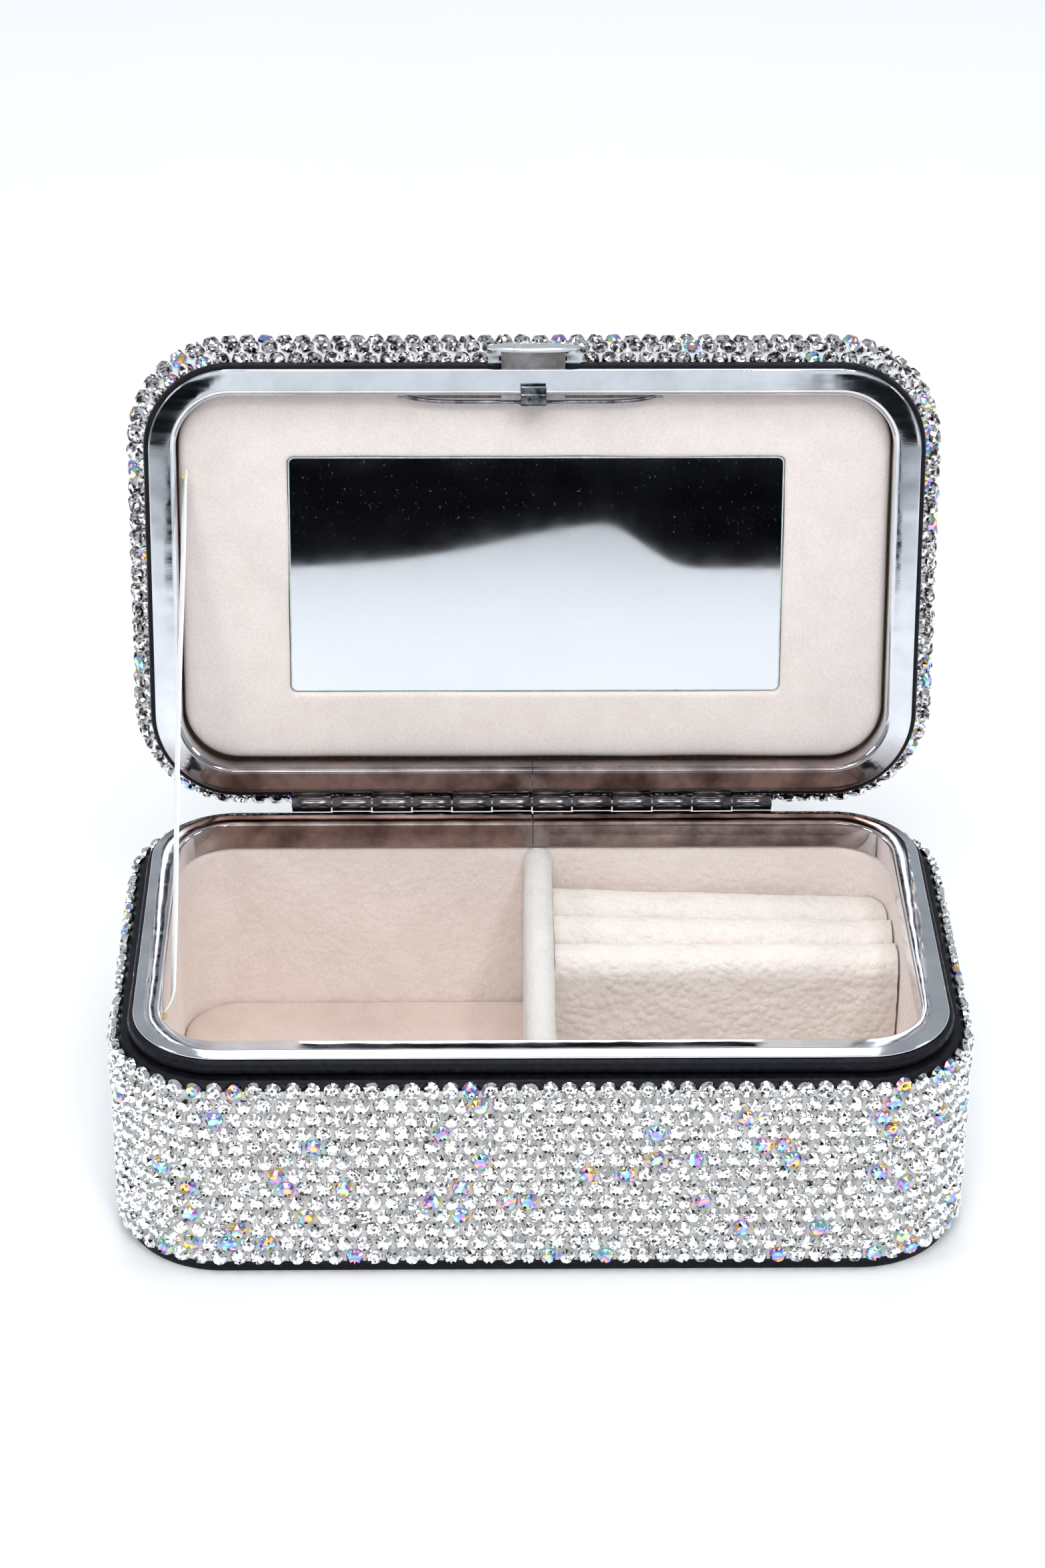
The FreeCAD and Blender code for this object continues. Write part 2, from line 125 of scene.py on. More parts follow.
# The rhinestones, and the pale sheet that they come on.
STONE_RADIUS = 1.58
STONE_HEIGHT = 1.22
STONE_PITCH = 3.413
STONE_TILT = 0.11
ROW_PITCH = 2.955
BASE_ROWS = 13
STONES_BOTTOM = -42.2
LID_EDGE_LEANS = (-60, -28, 4, 36, 68)
LID_RING_OFFSET = -2.85
LID_FIELD_OFFSET = -5.85
IRIDESCENT_SHARE = 0.095
BACKING_RAISED = 0.12
BACKING_SUNK = 0.05

# The piano hinge.
HINGE_START = -46.4
HINGE_LENGTH = 92.0
HINGE_ROOM = (-46.6, 45.8)
KNUCKLES = 12
KNUCKLE_RADIUS = 1.57
KNUCKLE_SHEET = 0.5
KNUCKLE_GAP = 0.14
KNUCKLE_EDGE = 0.08
LEAF_LEVELS = (1.05, 1.5)
LEAF_REACH = (38.0, 41.6)

# The press-lock. A ROOM is half the width of an opening that part of it moves in.
LATCH_X = -0.45
BUTTON_HALF_X = 8.3
BUTTON_HALF_Z = 2.62
BUTTON_HEIGHT = 2.0
BUTTON_ROOM = 6.3
WELT_ROOM = 8.8
STONE_ROOM = 8.2
STEM_HALF = 5.95
STEM_ROOM = 6.15
FRAME_SLOT_ROOM = 6.2
HOOK_HALF = 2.35
HOOK_ROOM = 2.65
WIRE_X = -0.9
WIRE_SPAN = 23.3
WIRE_Y = -34.6
WIRE_Z = 2.75
WIRE_BOW = 1.1
WIRE_RADIUS = 0.38

# The stay ribbon: its (y, z) ends, its place in X, and its shape.
RIBBON_BASE = (-20.0, -6.0)
RIBBON_LID = (62.4, 63.9)
RIBBON_X = -65.6
RIBBON_TURN = 0.2
RIBBON_SHORT = 3.2
RIBBON_TUCK = 1.7
RIBBON_TUCK_RUN = 5.0
RIBBON_SWAY = 0.12
RIBBON_STEPS = 180

STANDING = Matrix.Scale(MM, 4) @ Matrix.Translation((0, 0, RIM_HEIGHT))
OPENED = (
    Matrix.Translation(HINGE)
    @ Matrix.Rotation(-OPEN_ANGLE, 4, "X")
    @ Matrix.Translation(-HINGE)
    @ STANDING
)
rng = np.random.default_rng(7)


# -------- materials


class Look:
    """A material built round one Principled shader, with noise in millimetres."""

    def __init__(self, name, **values):
        self.material = bpy.data.materials.new(name)
        self.material.use_nodes = True
        self.tree = self.material.node_tree
        self.shader = self.tree.nodes["Principled BSDF"]
        for key, value in values.items():
            self.shader.inputs[key.replace("_", " ")].default_value = value

    def node(self, kind, **settings):
        made = self.tree.nodes.new(kind)
        for key, value in settings.items():
            setattr(made, key, value)
        return made

    def link(self, output, target):
        self.tree.links.new(output, target)

    def noise(self, size, stretch=(1, 1, 1), detail=3.0):
        """Noise whose features are about size millimetres across."""
        coords = self.node("ShaderNodeTexCoord")
        mapping = self.node("ShaderNodeMapping")
        mapping.inputs["Scale"].default_value = stretch
        texture = self.node("ShaderNodeTexNoise")
        texture.inputs["Scale"].default_value = 1 / (size * MM)
        texture.inputs["Detail"].default_value = detail
        texture.inputs["Roughness"].default_value = 0.55
        self.link(coords.outputs["Object"], mapping.inputs["Vector"])
        self.link(mapping.outputs["Vector"], texture.inputs["Vector"])
        return texture.outputs["Fac"]

    def cells(self, size):
        """The distance to the nearest of scattered points, for pebbled grain."""
        coords = self.node("ShaderNodeTexCoord")
        texture = self.node("ShaderNodeTexVoronoi")
        texture.inputs["Scale"].default_value = 1 / (size * MM)
        self.link(coords.outputs["Object"], texture.inputs["Vector"])
        return texture.outputs["Distance"]

    def pebbles(self, size):
        """Rounded bumps, highest at scattered points and lowest half-way between them."""
        rounded = self.remap(self.cells(size), 1.0, 0.0, start=0.1, end=0.8)
        rounded.node.interpolation_type = "SMOOTHSTEP"
        return rounded

    def ramp(self, value, *stops):
        node = self.node("ShaderNodeValToRGB")
        elements = node.color_ramp.elements
        while len(elements) < len(stops):
            elements.new(0.5)
        for element, (place, colour) in zip(elements, stops):
            element.position = place
            element.color = (*colour, 1)
        self.link(value, node.inputs["Fac"])
        return node.outputs["Color"]

    def remap(self, value, low, high, start=0.3, end=0.7):
        node = self.node("ShaderNodeMapRange")
        node.inputs["From Min"].default_value = start
        node.inputs["From Max"].default_value = end
        node.inputs["To Min"].default_value = low
        node.inputs["To Max"].default_value = high
        self.link(value, node.inputs["Value"])
        return node.outputs["Result"]

    def colour(self, output):
        self.link(output, self.shader.inputs["Base Color"])

    def mottle(self, size, dark, pale, *settings):
        """Colours the surface between two shades, in patches about size millimetres across."""
        self.colour(self.ramp(self.noise(size, *settings), (0.3, dark), (0.7, pale)))

    def polish(self, size, low, high, *settings):
        """Varies the roughness between two values, in patches about size millimetres across."""
        patches = self.remap(self.noise(size, *settings), low, high)
        self.link(patches, self.shader.inputs["Roughness"])

    def bump(self, *layers):
        """Adds (height, depth in millimetres) layers of bump."""
        normal = None
        for height, depth in layers:
            node = self.node("ShaderNodeBump")
            node.inputs["Strength"].default_value = 1.0
            node.inputs["Distance"].default_value = depth * MM
            self.link(height, node.inputs["Height"])
            if normal:
                self.link(normal, node.inputs["Normal"])
            normal = node.outputs["Normal"]
        self.link(normal, self.shader.inputs["Normal"])


def painted_reflection_beside_hinge(look):
    """A mask that is 1 on the frames' back sides, next to the hinge, and fades out from there. It
    places the painted dark reflection.
    """
    coords = look.node("ShaderNodeTexCoord")
    split = look.node("ShaderNodeSeparateXYZ")
    look.link(coords.outputs["Object"], split.inputs["Vector"])
    behind = look.remap(split.outputs["Y"], 0.0, 1.0, start=30.0 * MM, end=36.5 * MM)
    low = look.remap(split.outputs["Z"], 1.0, 0.0, start=50.0 * MM, end=58.0 * MM)
    both = look.node("ShaderNodeMath", operation="MULTIPLY")
    look.link(behind, both.inputs[0])
    look.link(low, both.inputs[1])
    return both.outputs["Value"]


def chrome_look():
    """Bright plating, with a painted dark brown reflection beside the hinge."""
    look = Look("chrome_plating", Metallic=1.0)
    patches = look.noise(9, detail=4)
    bright = look.ramp(patches, (0.3, (0.62, 0.64, 0.68)), (0.7, (0.80, 0.82, 0.86)))
    # Painted dark reflection: darker, browner plating beside the hinge stands in for the shaded
    # lining seen in it.
    painted_dark_reflection = look.ramp(patches, (0.38, (0.10, 0.07, 0.066)), (0.62, (0.31, 0.24, 0.225)))
    mix = look.node("ShaderNodeMix", data_type="RGBA")
    look.link(painted_reflection_beside_hinge(look), mix.inputs["Factor"])
    look.link(bright, mix.inputs["A"])
    look.link(painted_dark_reflection, mix.inputs["B"])
    look.colour(mix.outputs["Result"])
    look.polish(1.6, 0.03, 0.11, (0.12, 1, 1), 5)
    look.bump((look.noise(0.35, (0.05, 1, 1)), 0.0012), (look.noise(7, detail=1), 0.05))
    return look.material


def plain_look(name, patches, gloss, grain=None, **values):
    """Patches are (size, dark, pale), gloss is (size, low, high) and grain is (size, depth).
    Each can end with how much its noise is squeezed along X, Y and Z."""
    look = Look(name, **values)
    look.mottle(*patches)
    look.polish(*gloss)
    if grain:
        size, depth, *stretch = grain
        look.bump((look.noise(size, *stretch), depth))
    return look.material


def brushed_look(name, dark, bright):
    brushed, fine = (1, 0.08, 0.08), (1, 0.06, 0.06)
    return plain_look(
        name, (3, dark, bright), (0.6, 0.26, 0.36, brushed), (0.15, 0.0015, fine), Metallic=1.0,
    )


def backing_look(name, dark, pale):
    return plain_look(
        name, (0.8, dark, pale), (0.5, 0.25, 0.5), (0.5, 0.05), Specular_IOR_Level=0.6,
    )


def catch_look():
    look = Look("catch_plating", Metallic=1.0)
    # Dark plating: painted dark reflection, in place of the bright front card that plain plating
    # would reflect.
    shades = (0.35, (0.02, 0.03, 0.035)), (0.65, (0.24, 0.26, 0.27))
    look.colour(look.ramp(look.noise(1.4), *shades))
    look.polish(0.6, 0.12, 0.25)
    look.bump((look.noise(0.4), 0.02))
    return look.material


def leather_look():
    look = Look("black_leatherette", Specular_IOR_Level=0.16)
    look.mottle(1.2, (0.003, 0.003, 0.006), (0.009, 0.009, 0.014))
    look.polish(2.5, 0.32, 0.5)
    look.bump((look.cells(0.42), 0.03), (look.noise(3), 0.06))
    return look.material


def velvet_look(name, deep, pale, pebble=0.0):
    """A short mottled nap, over rounded grain of a depth in millimetres."""
    look = Look(
        name, Roughness=0.92, Sheen_Weight=0.35, Sheen_Roughness=0.45, Specular_IOR_Level=0.15,
    )
    look.shader.inputs["Sheen Tint"].default_value = (1.0, 0.95, 0.9, 1)
    broad = look.noise(5, detail=4)
    nap = look.noise(0.28, detail=2)
    mix = look.node("ShaderNodeMix", data_type="FLOAT")
    mix.inputs["Factor"].default_value = 0.72
    look.link(broad, mix.inputs["A"])
    look.link(nap, mix.inputs["B"])
    look.colour(look.ramp(mix.outputs["Result"], (0.36, deep), (0.62, pale)))
    layers = [(nap, 0.05)]
    if pebble:
        layers.append((look.pebbles(1.6), pebble))
        layers.append((look.noise(2.2, detail=2), pebble))
    look.bump(*layers)
    return look.material


def crystal_look(name, size, *shades, detail=1):
    """Foil-backed stones whose facets take one of a few (place, colour) shades. Dark to white
    shades are painted reflections, standing in for the sparkle of light and shade.
    """
    look = Look(name, Metallic=1.0)
    look.colour(look.ramp(look.noise(size, detail=detail), *shades))
    look.polish(0.9, 0.03, 0.12)
    return look.material


def mirror_look():
    """Silvering with a little dust, which lowers the metallic value in specks."""
    look = Look("mirror_silver", Metallic=1.0)
    look.mottle(30, (0.705, 0.73, 0.76), (0.735, 0.76, 0.79))
    look.polish(6, 0.022, 0.032)
    dust = look.noise(0.28, (1, 0.5, 0.5), detail=1)
    specks = look.remap(dust, 1.0, 0.75, start=0.715, end=0.80)
    look.link(specks, look.shader.inputs["Metallic"])
    return look.material


def foam_look():
    look = Look("foam", Specular_IOR_Level=0.2, Sheen_Weight=0.2)
    look.colour(look.ramp(look.cells(0.6), (0.1, (0.72, 0.71, 0.67)), (0.6, (0.86, 0.85, 0.82))))
    look.polish(1, 0.85, 0.98)
    look.bump((look.cells(0.6), 0.1))
    return look.material


CHROME = chrome_look()
# The hinge's plating is coloured dark and brownish as painted dark reflection of the shaded lining.
HINGE_PLATING = plain_look(
    "hinge_plating", (2.5, (0.075, 0.07, 0.072), (0.24, 0.225, 0.235)),
    (0.8, 0.08, 0.2, (0.2, 1, 1)), (0.3, 0.004, (0.1, 1, 1)), Metallic=1.0,
)
BRUSHED = brushed_look("brushed_plating", (0.22, 0.205, 0.205), (0.37, 0.35, 0.355))
BUTTON_PLATING = brushed_look("button_plating", (0.86, 0.88, 0.91), (0.95, 0.96, 0.98))
WIRE = plain_look(
    "spring_wire", (2, (0.07, 0.065, 0.08), (0.40, 0.39, 0.42)), (0.3, 0.12, 0.25), Metallic=1.0,
)
CATCH_PLATING = catch_look()
LEATHER = leather_look()
# Facets from near black to white: painted reflections for the stones' sparkle.
BASE_CRYSTAL = crystal_look(
    "crystal_base", 0.62,
    (0.335, (0.14, 0.13, 0.12)), (0.385, (0.66, 0.64, 0.615)), (0.43, (1.0, 1.0, 1.0)),
)
# Darker facets for the stones on the lid's edge: painted reflections, with painted shade more often
# than the base's.
LID_CRYSTAL = crystal_look(
    "crystal_lid", 0.95,
    (0.37, (0.06, 0.05, 0.05)), (0.445, (0.30, 0.27, 0.265)),
    (0.51, (0.78, 0.74, 0.735)), (0.62, (1.0, 0.98, 0.975)),
)
IRIDESCENT = crystal_look(
    "crystal_iridescent", 1.9,
    (0.30, (1.00, 0.80, 0.22)), (0.39, (1.00, 0.48, 0.62)), (0.46, (0.52, 0.28, 0.95)),
    (0.53, (0.28, 0.62, 1.00)), (0.61, (0.50, 0.98, 0.90)), (0.71, (1.00, 0.90, 0.50)),
    detail=0,
)
LID_BACKING = backing_look("lid_backing_sheet", (0.60, 0.64, 0.68), (0.82, 0.86, 0.90))
BASE_BACKING = backing_look("base_backing_sheet", (0.58, 0.56, 0.53), (0.80, 0.78, 0.75))
MIRROR = mirror_look()
GLASS_EDGE = plain_look(
    "mirror_glass_edge", (1.5, (0.50, 0.64, 0.63), (0.78, 0.90, 0.89)), (0.5, 0.05, 0.2),
    Specular_IOR_Level=0.6,
)
RIBBON = plain_look(
    "satin_ribbon", (0.5, (0.80, 0.80, 0.79), (0.92, 0.92, 0.91)),
    (0.3, 0.35, 0.6, (1, 0.1, 0.1)), (0.12, 0.03, (1, 0.2, 1)), Sheen_Weight=0.3,
)
BOARD = plain_look(
    "fibreboard", (0.7, (0.30, 0.22, 0.15), (0.46, 0.36, 0.26)), (1, 0.75, 0.95), (0.4, 0.05),
    Specular_IOR_Level=0.2,
)
FOAM = foam_look()
GLUE = plain_look(
    "dried_glue", (0.5, (0.80, 0.58, 0.18), (0.90, 0.74, 0.36)), (0.5, 0.2, 0.4),
    Specular_IOR_Level=0.5,
)
LID_VELVET = velvet_look("velvet_lid", (0.76, 0.675, 0.64), (0.87, 0.80, 0.765))
BASE_VELVET = velvet_look("velvet_base", (0.77, 0.665, 0.615), (0.885, 0.805, 0.765), pebble=0.07)
# The tray floor's velvet is a darker copy of the walls': painted shade, as the front wall shades
# the floor.
FLOOR_VELVET_PAINTED_SHADE = velvet_look("velvet_floor_painted_shade", (0.65, 0.53, 0.475), (0.78, 0.66, 0.60), pebble=0.05)
ROLL_VELVET = velvet_look("velvet_rolls", (0.72, 0.655, 0.61), (0.835, 0.78, 0.735), pebble=0.19)
DIVIDER_VELVET = velvet_look(
    "velvet_divider", (0.57, 0.555, 0.53), (0.715, 0.695, 0.665), pebble=0.04,
)


# -------- mesh helpers


def rounded_rectangle(half_x, half_y, radius, arc=20, side=24):
    """Points round a rectangle with round corners, anticlockwise from the back right corner."""
    points = []
    signs = ((1, 1), (-1, 1), (-1, -1), (1, -1))
    for quarter, (sx, sy) in enumerate(signs):
        centre = Vector((sx * (half_x - radius), sy * (half_y - radius)))
        for step in range(arc + 1):
            angle = math.radians(90) * (quarter + step / arc)
            points.append(centre + radius * Vector((math.cos(angle), math.sin(angle))))
        nx, ny = signs[(quarter + 1) % 4]
        turn = math.radians(90) * (quarter + 1)
        following = Vector((nx * (half_x - radius), ny * (half_y - radius)))
        following += radius * Vector((math.cos(turn), math.sin(turn)))
        start = points[-1]
        points.extend(start.lerp(following, step / side) for step in range(1, side))
    return points


def rim(offset, height, seam=False):
    """The frame's outline grown by offset. With seam, it starts and ends at the back seam."""
    points = rounded_rectangle(HALF_X + offset, HALF_Y + offset, CORNER + offset)
    if seam:
        back = max(point.y for point in points)
        first = next(
            i for i, point in enumerate(points) if point.y > back - 1e-6 and point.x < SEAM_X
        )
        points = points[first:] + points[:first]
        points.insert(0, Vector((SEAM_X - SEAM_GAP / 2, back)))
        points.append(Vector((SEAM_X + SEAM_GAP / 2, back)))
    return [Vector((point.x, point.y, height)) for point in points]


def reach(y, offset):
    """How far to the right the frame's outline, grown by offset, is at some y."""
    beyond = abs(y) - (HALF_Y - CORNER)
    if beyond <= 0:
        return HALF_X + offset
    radius = CORNER + offset
    return HALF_X - CORNER + math.sqrt(max(0.0, radius**2 - beyond**2))


def turns(count, start=0.0):
    """Angles evenly spaced round a full turn, the first one start steps on."""
    return [2 * math.pi * (i + start) / count for i in range(count)]


def show(name, data):
    """A new object in the scene."""
    made = bpy.data.objects.new(name, data)
    bpy.context.scene.collection.objects.link(made)
    return made


def rounded_section(points, steps=6):
    """A closed outline of (u, v, radius) points as a polyline with round corners."""
    outline = []
    for i, (u, v, radius) in enumerate(points):
        here = Vector((u, v))
        back = (Vector(points[i - 1][:2]) - here).normalized()
        on = (Vector(points[(i + 1) % len(points)][:2]) - here).normalized()
        if not radius:
            outline.append(here)
            continue
        half = back.angle(on) / 2
        centre = here + (back + on).normalized() * (radius / math.sin(half))
        start = here + back * (radius / math.tan(half)) - centre
        end = here + on * (radius / math.tan(half)) - centre
        sweep = math.atan2(start.x * end.y - start.y * end.x, start.dot(end))
        for step in range(steps + 1):
            turn = Matrix.Rotation(sweep * step / steps, 2)
            outline.append(centre + turn @ start)
    return outline


def add(name, verts, faces, *materials, sharp=32):
    """A mesh object with outward normals, smooth except at edges sharper than the angle."""
    mesh = bpy.data.meshes.new(name)
    mesh.from_pydata([tuple(v) for v in verts], [], faces)
    made = bmesh.new()
    made.from_mesh(mesh)
    bmesh.ops.recalc_face_normals(made, faces=made.faces)
    made.to_mesh(mesh)
    made.free()
    for material in materials:
        mesh.materials.append(material)
    mesh.shade_smooth()
    mesh.set_sharp_from_angle(angle=math.radians(sharp))
    return show(name, mesh)


def loft(name, loops, *materials, closed=True, around=True, sharp=32):
    """Skins a row of loops. Closed joins the last to the first; otherwise both ends are capped.
    Around joins each loop's end to its start; otherwise the two open sides are capped."""
    count = len(loops[0])
    verts = [point for loop in loops for point in loop]
    rows = len(loops) if closed else len(loops) - 1
    columns = count if around else count - 1
    faces = []
    for row in range(rows):
        for column in range(columns):
            here, there = row * count, (row + 1) % len(loops) * count
            after = (column + 1) % count
            faces.append((here + column, here + after, there + after, there + column))
    if not closed:
        faces.append(tuple(range(count)))
        faces.append(tuple(range(len(verts) - count, len(verts))))
    if not around:
        faces.append(tuple(range(0, len(verts), count)))
        faces.append(tuple(range(count - 1, len(verts), count)))
    return add(name, verts, faces, *materials, sharp=sharp)


def ring(name, section, *materials, seam=False, sharp=32):
    """A section of (offset, height, corner radius) carried all the way round the rim."""
    loops = [rim(u, v, seam) for u, v in rounded_section(section)]
    return loft(name, loops, *materials, around=not seam, sharp=sharp)


def slab(name, edge, material, start=0.0):
    """A flat solid whose edge is a row of (offset, height) loops, with offsets from start."""
    loops = [rim(start + u, v) for u, v in edge]
    return loft(name, loops, material, closed=False)


def prism(name, section, start, end, *materials, bevel=0.0, sharp=32):
    """A (y, z, corner radius) section extruded along X."""
    outline = rounded_section(section)
    loops = [[Vector((x, y, z)) for y, z in outline] for x in (start, end)]
    piece = loft(name, loops, *materials, closed=False, sharp=sharp)
    if bevel:
        soften(piece, bevel)
    return piece


def bar(name, x, y, z, *materials, bevel=0.15):
    """A block between pairs of limits."""
    section = [(y[0], z[0], 0), (y[1], z[0], 0), (y[1], z[1], 0), (y[0], z[1], 0)]
    return prism(name, section, x[0], x[1], *materials, bevel=bevel)


def join(name, parts):
    """One mesh from several, with the first one's materials."""
    made = bmesh.new()
    for part in parts:
        made.from_mesh(part.data)
    mesh = bpy.data.meshes.new(name)
    made.to_mesh(mesh)
    made.free()
    for material in parts[0].data.materials:
        mesh.materials.append(material)
    mesh.set_sharp_from_angle(angle=math.radians(32))
    for part in parts:
        bpy.data.objects.remove(part)
    return show(name, mesh)


def apply_modifiers(piece):
    graph = bpy.context.evaluated_depsgraph_get()
    finished = bpy.data.meshes.new_from_object(piece.evaluated_get(graph))
    piece.modifiers.clear()
    old = piece.data
    piece.data = finished
    bpy.data.meshes.remove(old)


def soften(piece, width, segments=3):
    """Rounds off the sharp edges."""
    modifier = piece.modifiers.new("Bevel", "BEVEL")
    modifier.width = width
    modifier.segments = segments
    modifier.limit_method = "ANGLE"
    apply_modifiers(piece)
    piece.data.shade_smooth()
    piece.data.set_sharp_from_angle(angle=math.radians(40))


def cut(piece, x, y, z):
    """Removes a block between pairs of limits."""
    cutter = bar("cutter", x, y, z, bevel=0)
    modifier = piece.modifiers.new("Cut", "BOOLEAN")
    modifier.operation = "DIFFERENCE"
    modifier.solver = "EXACT"
    modifier.object = cutter
    apply_modifiers(piece)
    bpy.data.objects.remove(cutter)


def beside_latch(half_width):
    return (LATCH_X - half_width, LATCH_X + half_width)


def cut_for_latch(piece, half_width=BUTTON_ROOM):
    """Room in the lid's edge for the pressed button, and the slot that its stem goes through."""
    cut(piece, beside_latch(half_width), (-60, -41.95), (-3, 4.95))
    cut(piece, beside_latch(STEM_ROOM), (-60, -35), (0.95, 2.3))


def cut_for_hinge(piece, z):
    """Room for the hinge's leaves at the back of a welt."""
    cut(piece, HINGE_ROOM, (40, 50), z)


def ripple(piece, depth, size, seed=0.0):
    """Moves vertices along their normals by smooth noise."""
    shift = Vector((seed, seed * 1.7, -seed))
    vertices = piece.data.vertices
    moves = [v.normal * depth * noise.noise((v.co / size) + shift) for v in vertices]
    for vertex, move in zip(vertices, moves):
        vertex.co += move


def fit(piece, body, slot, *nodes):
    """Puts a piece in its place on a body and hides the CAD nodes that it stands for. The slot
    argument is not used.
    """
    piece.data.transform(OPENED if body in ("lid", "latch") else STANDING)
    piece.data.update()
    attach(piece, body)
    if nodes:
        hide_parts(*nodes)
    return piece


# -------- rhinestones


def stone_shape():
    """One faceted stone on its flat back: its points and faces."""
    verts = []

    def circle(count, radius, height, start=0.0):
        first = len(verts)
        for angle in turns(count, start):
            verts.append((radius * math.cos(angle), radius * math.sin(angle), height))
        return [first + i for i in range(count)]

    foot = circle(16, STONE_RADIUS * 0.96, 0.0)
    girdle = circle(16, STONE_RADIUS, STONE_HEIGHT * 0.38)
    table = circle(8, STONE_RADIUS * 0.69, STONE_HEIGHT)
    star = circle(8, STONE_RADIUS * 0.38, STONE_HEIGHT * 0.84, start=0.5)
    verts.append((0, 0, STONE_HEIGHT * 0.93))
    centre = len(verts) - 1
    faces = [tuple(reversed(foot))]
    for i in range(16):
        faces.append((foot[i], foot[(i + 1) % 16], girdle[(i + 1) % 16], girdle[i]))
    for k in range(8):
        after = (k + 1) % 8
        faces.append((girdle[2 * k - 1], girdle[2 * k], table[k]))
        faces.append((girdle[2 * k], girdle[2 * k + 1], table[k]))
        faces.append((girdle[2 * k + 1], table[after], table[k]))
        faces.append((table[k], table[after], star[k]))
        faces.append((star[k - 1], table[k], star[k]))
        faces.append((star[k - 1], star[k], centre))
    return np.array(verts), faces


def set_stones(name, places, crystal):
    """Sets a stone at each (point, outward normal), with a small random turn and tilt."""
    shape, shape_faces = stone_shape()
    verts, faces, kinds = [], [], []
    for count, (point, normal) in enumerate(places):
        tilt = Vector(rng.normal(0, STONE_TILT, 3))
        upright = (Vector(normal) + tilt).normalized().to_track_quat("Z", "Y").to_matrix()
        turn = upright @ Matrix.Rotation(rng.uniform(0, 6.28), 3, "Z")
        size = rng.uniform(0.975, 1.0)
        verts.append(shape * size @ np.array(turn).T + np.array(point))
        first = count * len(shape)
        faces.extend(tuple(first + i for i in face) for face in shape_faces)
        kinds.extend([int(rng.random() < IRIDESCENT_SHARE)] * len(shape_faces))
    mesh = bpy.data.meshes.new(name)
    mesh.from_pydata(np.concatenate(verts).tolist(), [], faces)
    mesh.materials.append(crystal)
    mesh.materials.append(IRIDESCENT)
    mesh.polygons.foreach_set("material_index", kinds)
    mesh.update()
    return show(name, mesh)


def perimeter_places(offset, height, lean, shift):
    """Evenly spaced places round the rim at an offset, with normals leaning up by an angle."""
    straight_x, straight_y = HALF_X - CORNER, HALF_Y - CORNER
    radius = CORNER + offset
    quarter = math.pi / 2 * radius
    lengths = [quarter, 2 * straight_x, quarter, 2 * straight_y] * 2
    total = sum(lengths)
    count = round(total / STONE_PITCH)
    corners = [(1, 1), (-1, 1), (-1, -1), (1, -1)]
    places = []
    for i in range(count):
        along = (i + shift) * total / count % total
        run = 0
        while along > lengths[run]:
            along -= lengths[run]
            run += 1
        side = run // 2
        sx, sy = corners[side]
        centre = Vector((sx * straight_x, sy * straight_y, 0))
        angle = math.pi / 2 * side + (along / radius if run % 2 == 0 else math.pi / 2)
        flat = Vector((math.cos(angle), math.sin(angle), 0))
        if run % 2:
            centre += along * Vector((-flat.y, flat.x, 0))
        point = centre + flat * radius
        point.z = height
        normal = flat * math.cos(lean) + Vector((0, 0, math.sin(lean)))
        places.append((point, normal))
    return places


def base_stones():
    places = []
    straight_top = SHOULDER_TOP - SHOULDER_ROUND
    for row in range(BASE_ROWS):
        height = STONES_BOTTOM + STONE_RADIUS + row * ROW_PITCH
        lean, offset = 0.0, COVER_OUTSIDE
        if height > straight_top:
            lean = (height - straight_top) / SHOULDER_ROUND
            offset -= SHOULDER_ROUND * (1 - math.cos(lean))
            height = straight_top + SHOULDER_ROUND * math.sin(lean)
        places += perimeter_places(offset, height, lean, 0.5 * (row % 2))
    piece = set_stones("base_crystals", places, BASE_CRYSTAL)
    return fit(piece, "base", "crystal", "base_rhinestones")


def lid_edge_stones():
    """Rows over the lid's rolled edge. The lowest leaves room for the pressed button."""
    places = []
    for row, degrees in enumerate(LID_EDGE_LEANS):
        lean = math.radians(degrees)
        offset = NOSE_OFFSET + NOSE_COVER * math.cos(lean)
        height = NOSE_HEIGHT + NOSE_COVER * math.sin(lean)
        found = perimeter_places(offset, height, lean, 0.5 * (row % 2))
        if row == 0:
            found = [p for p in found if abs(p[0].x - LATCH_X) > STONE_ROOM or p[0].y > 0]
        places += found
    piece = set_stones("lid_edge_crystals", places, LID_CRYSTAL)
    return fit(piece, "lid", "crystal", "lid_rhinestones")


def lid_top_stones():
    """A row round the lid's flat top, and straight rows inside it."""
    level = NOSE_HEIGHT + NOSE_COVER
    up = Vector((0, 0, 1))
    places = [(point, up) for point, _ in perimeter_places(LID_RING_OFFSET, level, 0.0, 0.25)]
    half_depth = HALF_Y + LID_FIELD_OFFSET
    rows = math.ceil(2 * half_depth / ROW_PITCH)
    for row in range(rows + 1):
        y = half_depth * (2 * row / rows - 1)
        half_width = reach(y, LID_FIELD_OFFSET)
        columns = int(2 * half_width / STONE_PITCH)
        for column in range(columns + 1):
            places.append((Vector((half_width * (2 * column / columns - 1), y, level)), up))
    piece = set_stones("lid_top_crystals", places, BASE_CRYSTAL)
    return fit(piece, "lid", "crystal")


# -------- base


def frame_section(sign, shift, crown=0.0):
    """The folded strip's section, face up for the base and face down for the lid."""
    inner = -FRAME_WIDTH
    back = inner + FRAME_SHEET
    face = [(inner, -crown, 0.6), (-1.7, 0.0, 1.2)] if crown else [(inner, 0.0, 1.1)]
    points = [
        (inner, -FRAME_DEPTH, 0.2), *face, (0.0, -FRAME_SLOPE, 0.3),
        (0.0, -FRAME_LIP, 0.12), (-0.45, -FRAME_LIP, 0.0), (back, -FRAME_SHEET - 0.05, 0.4),
        (back, -FRAME_DEPTH, 0.15),
    ]
    return [(u, sign * v + shift, radius) for u, v, radius in points]


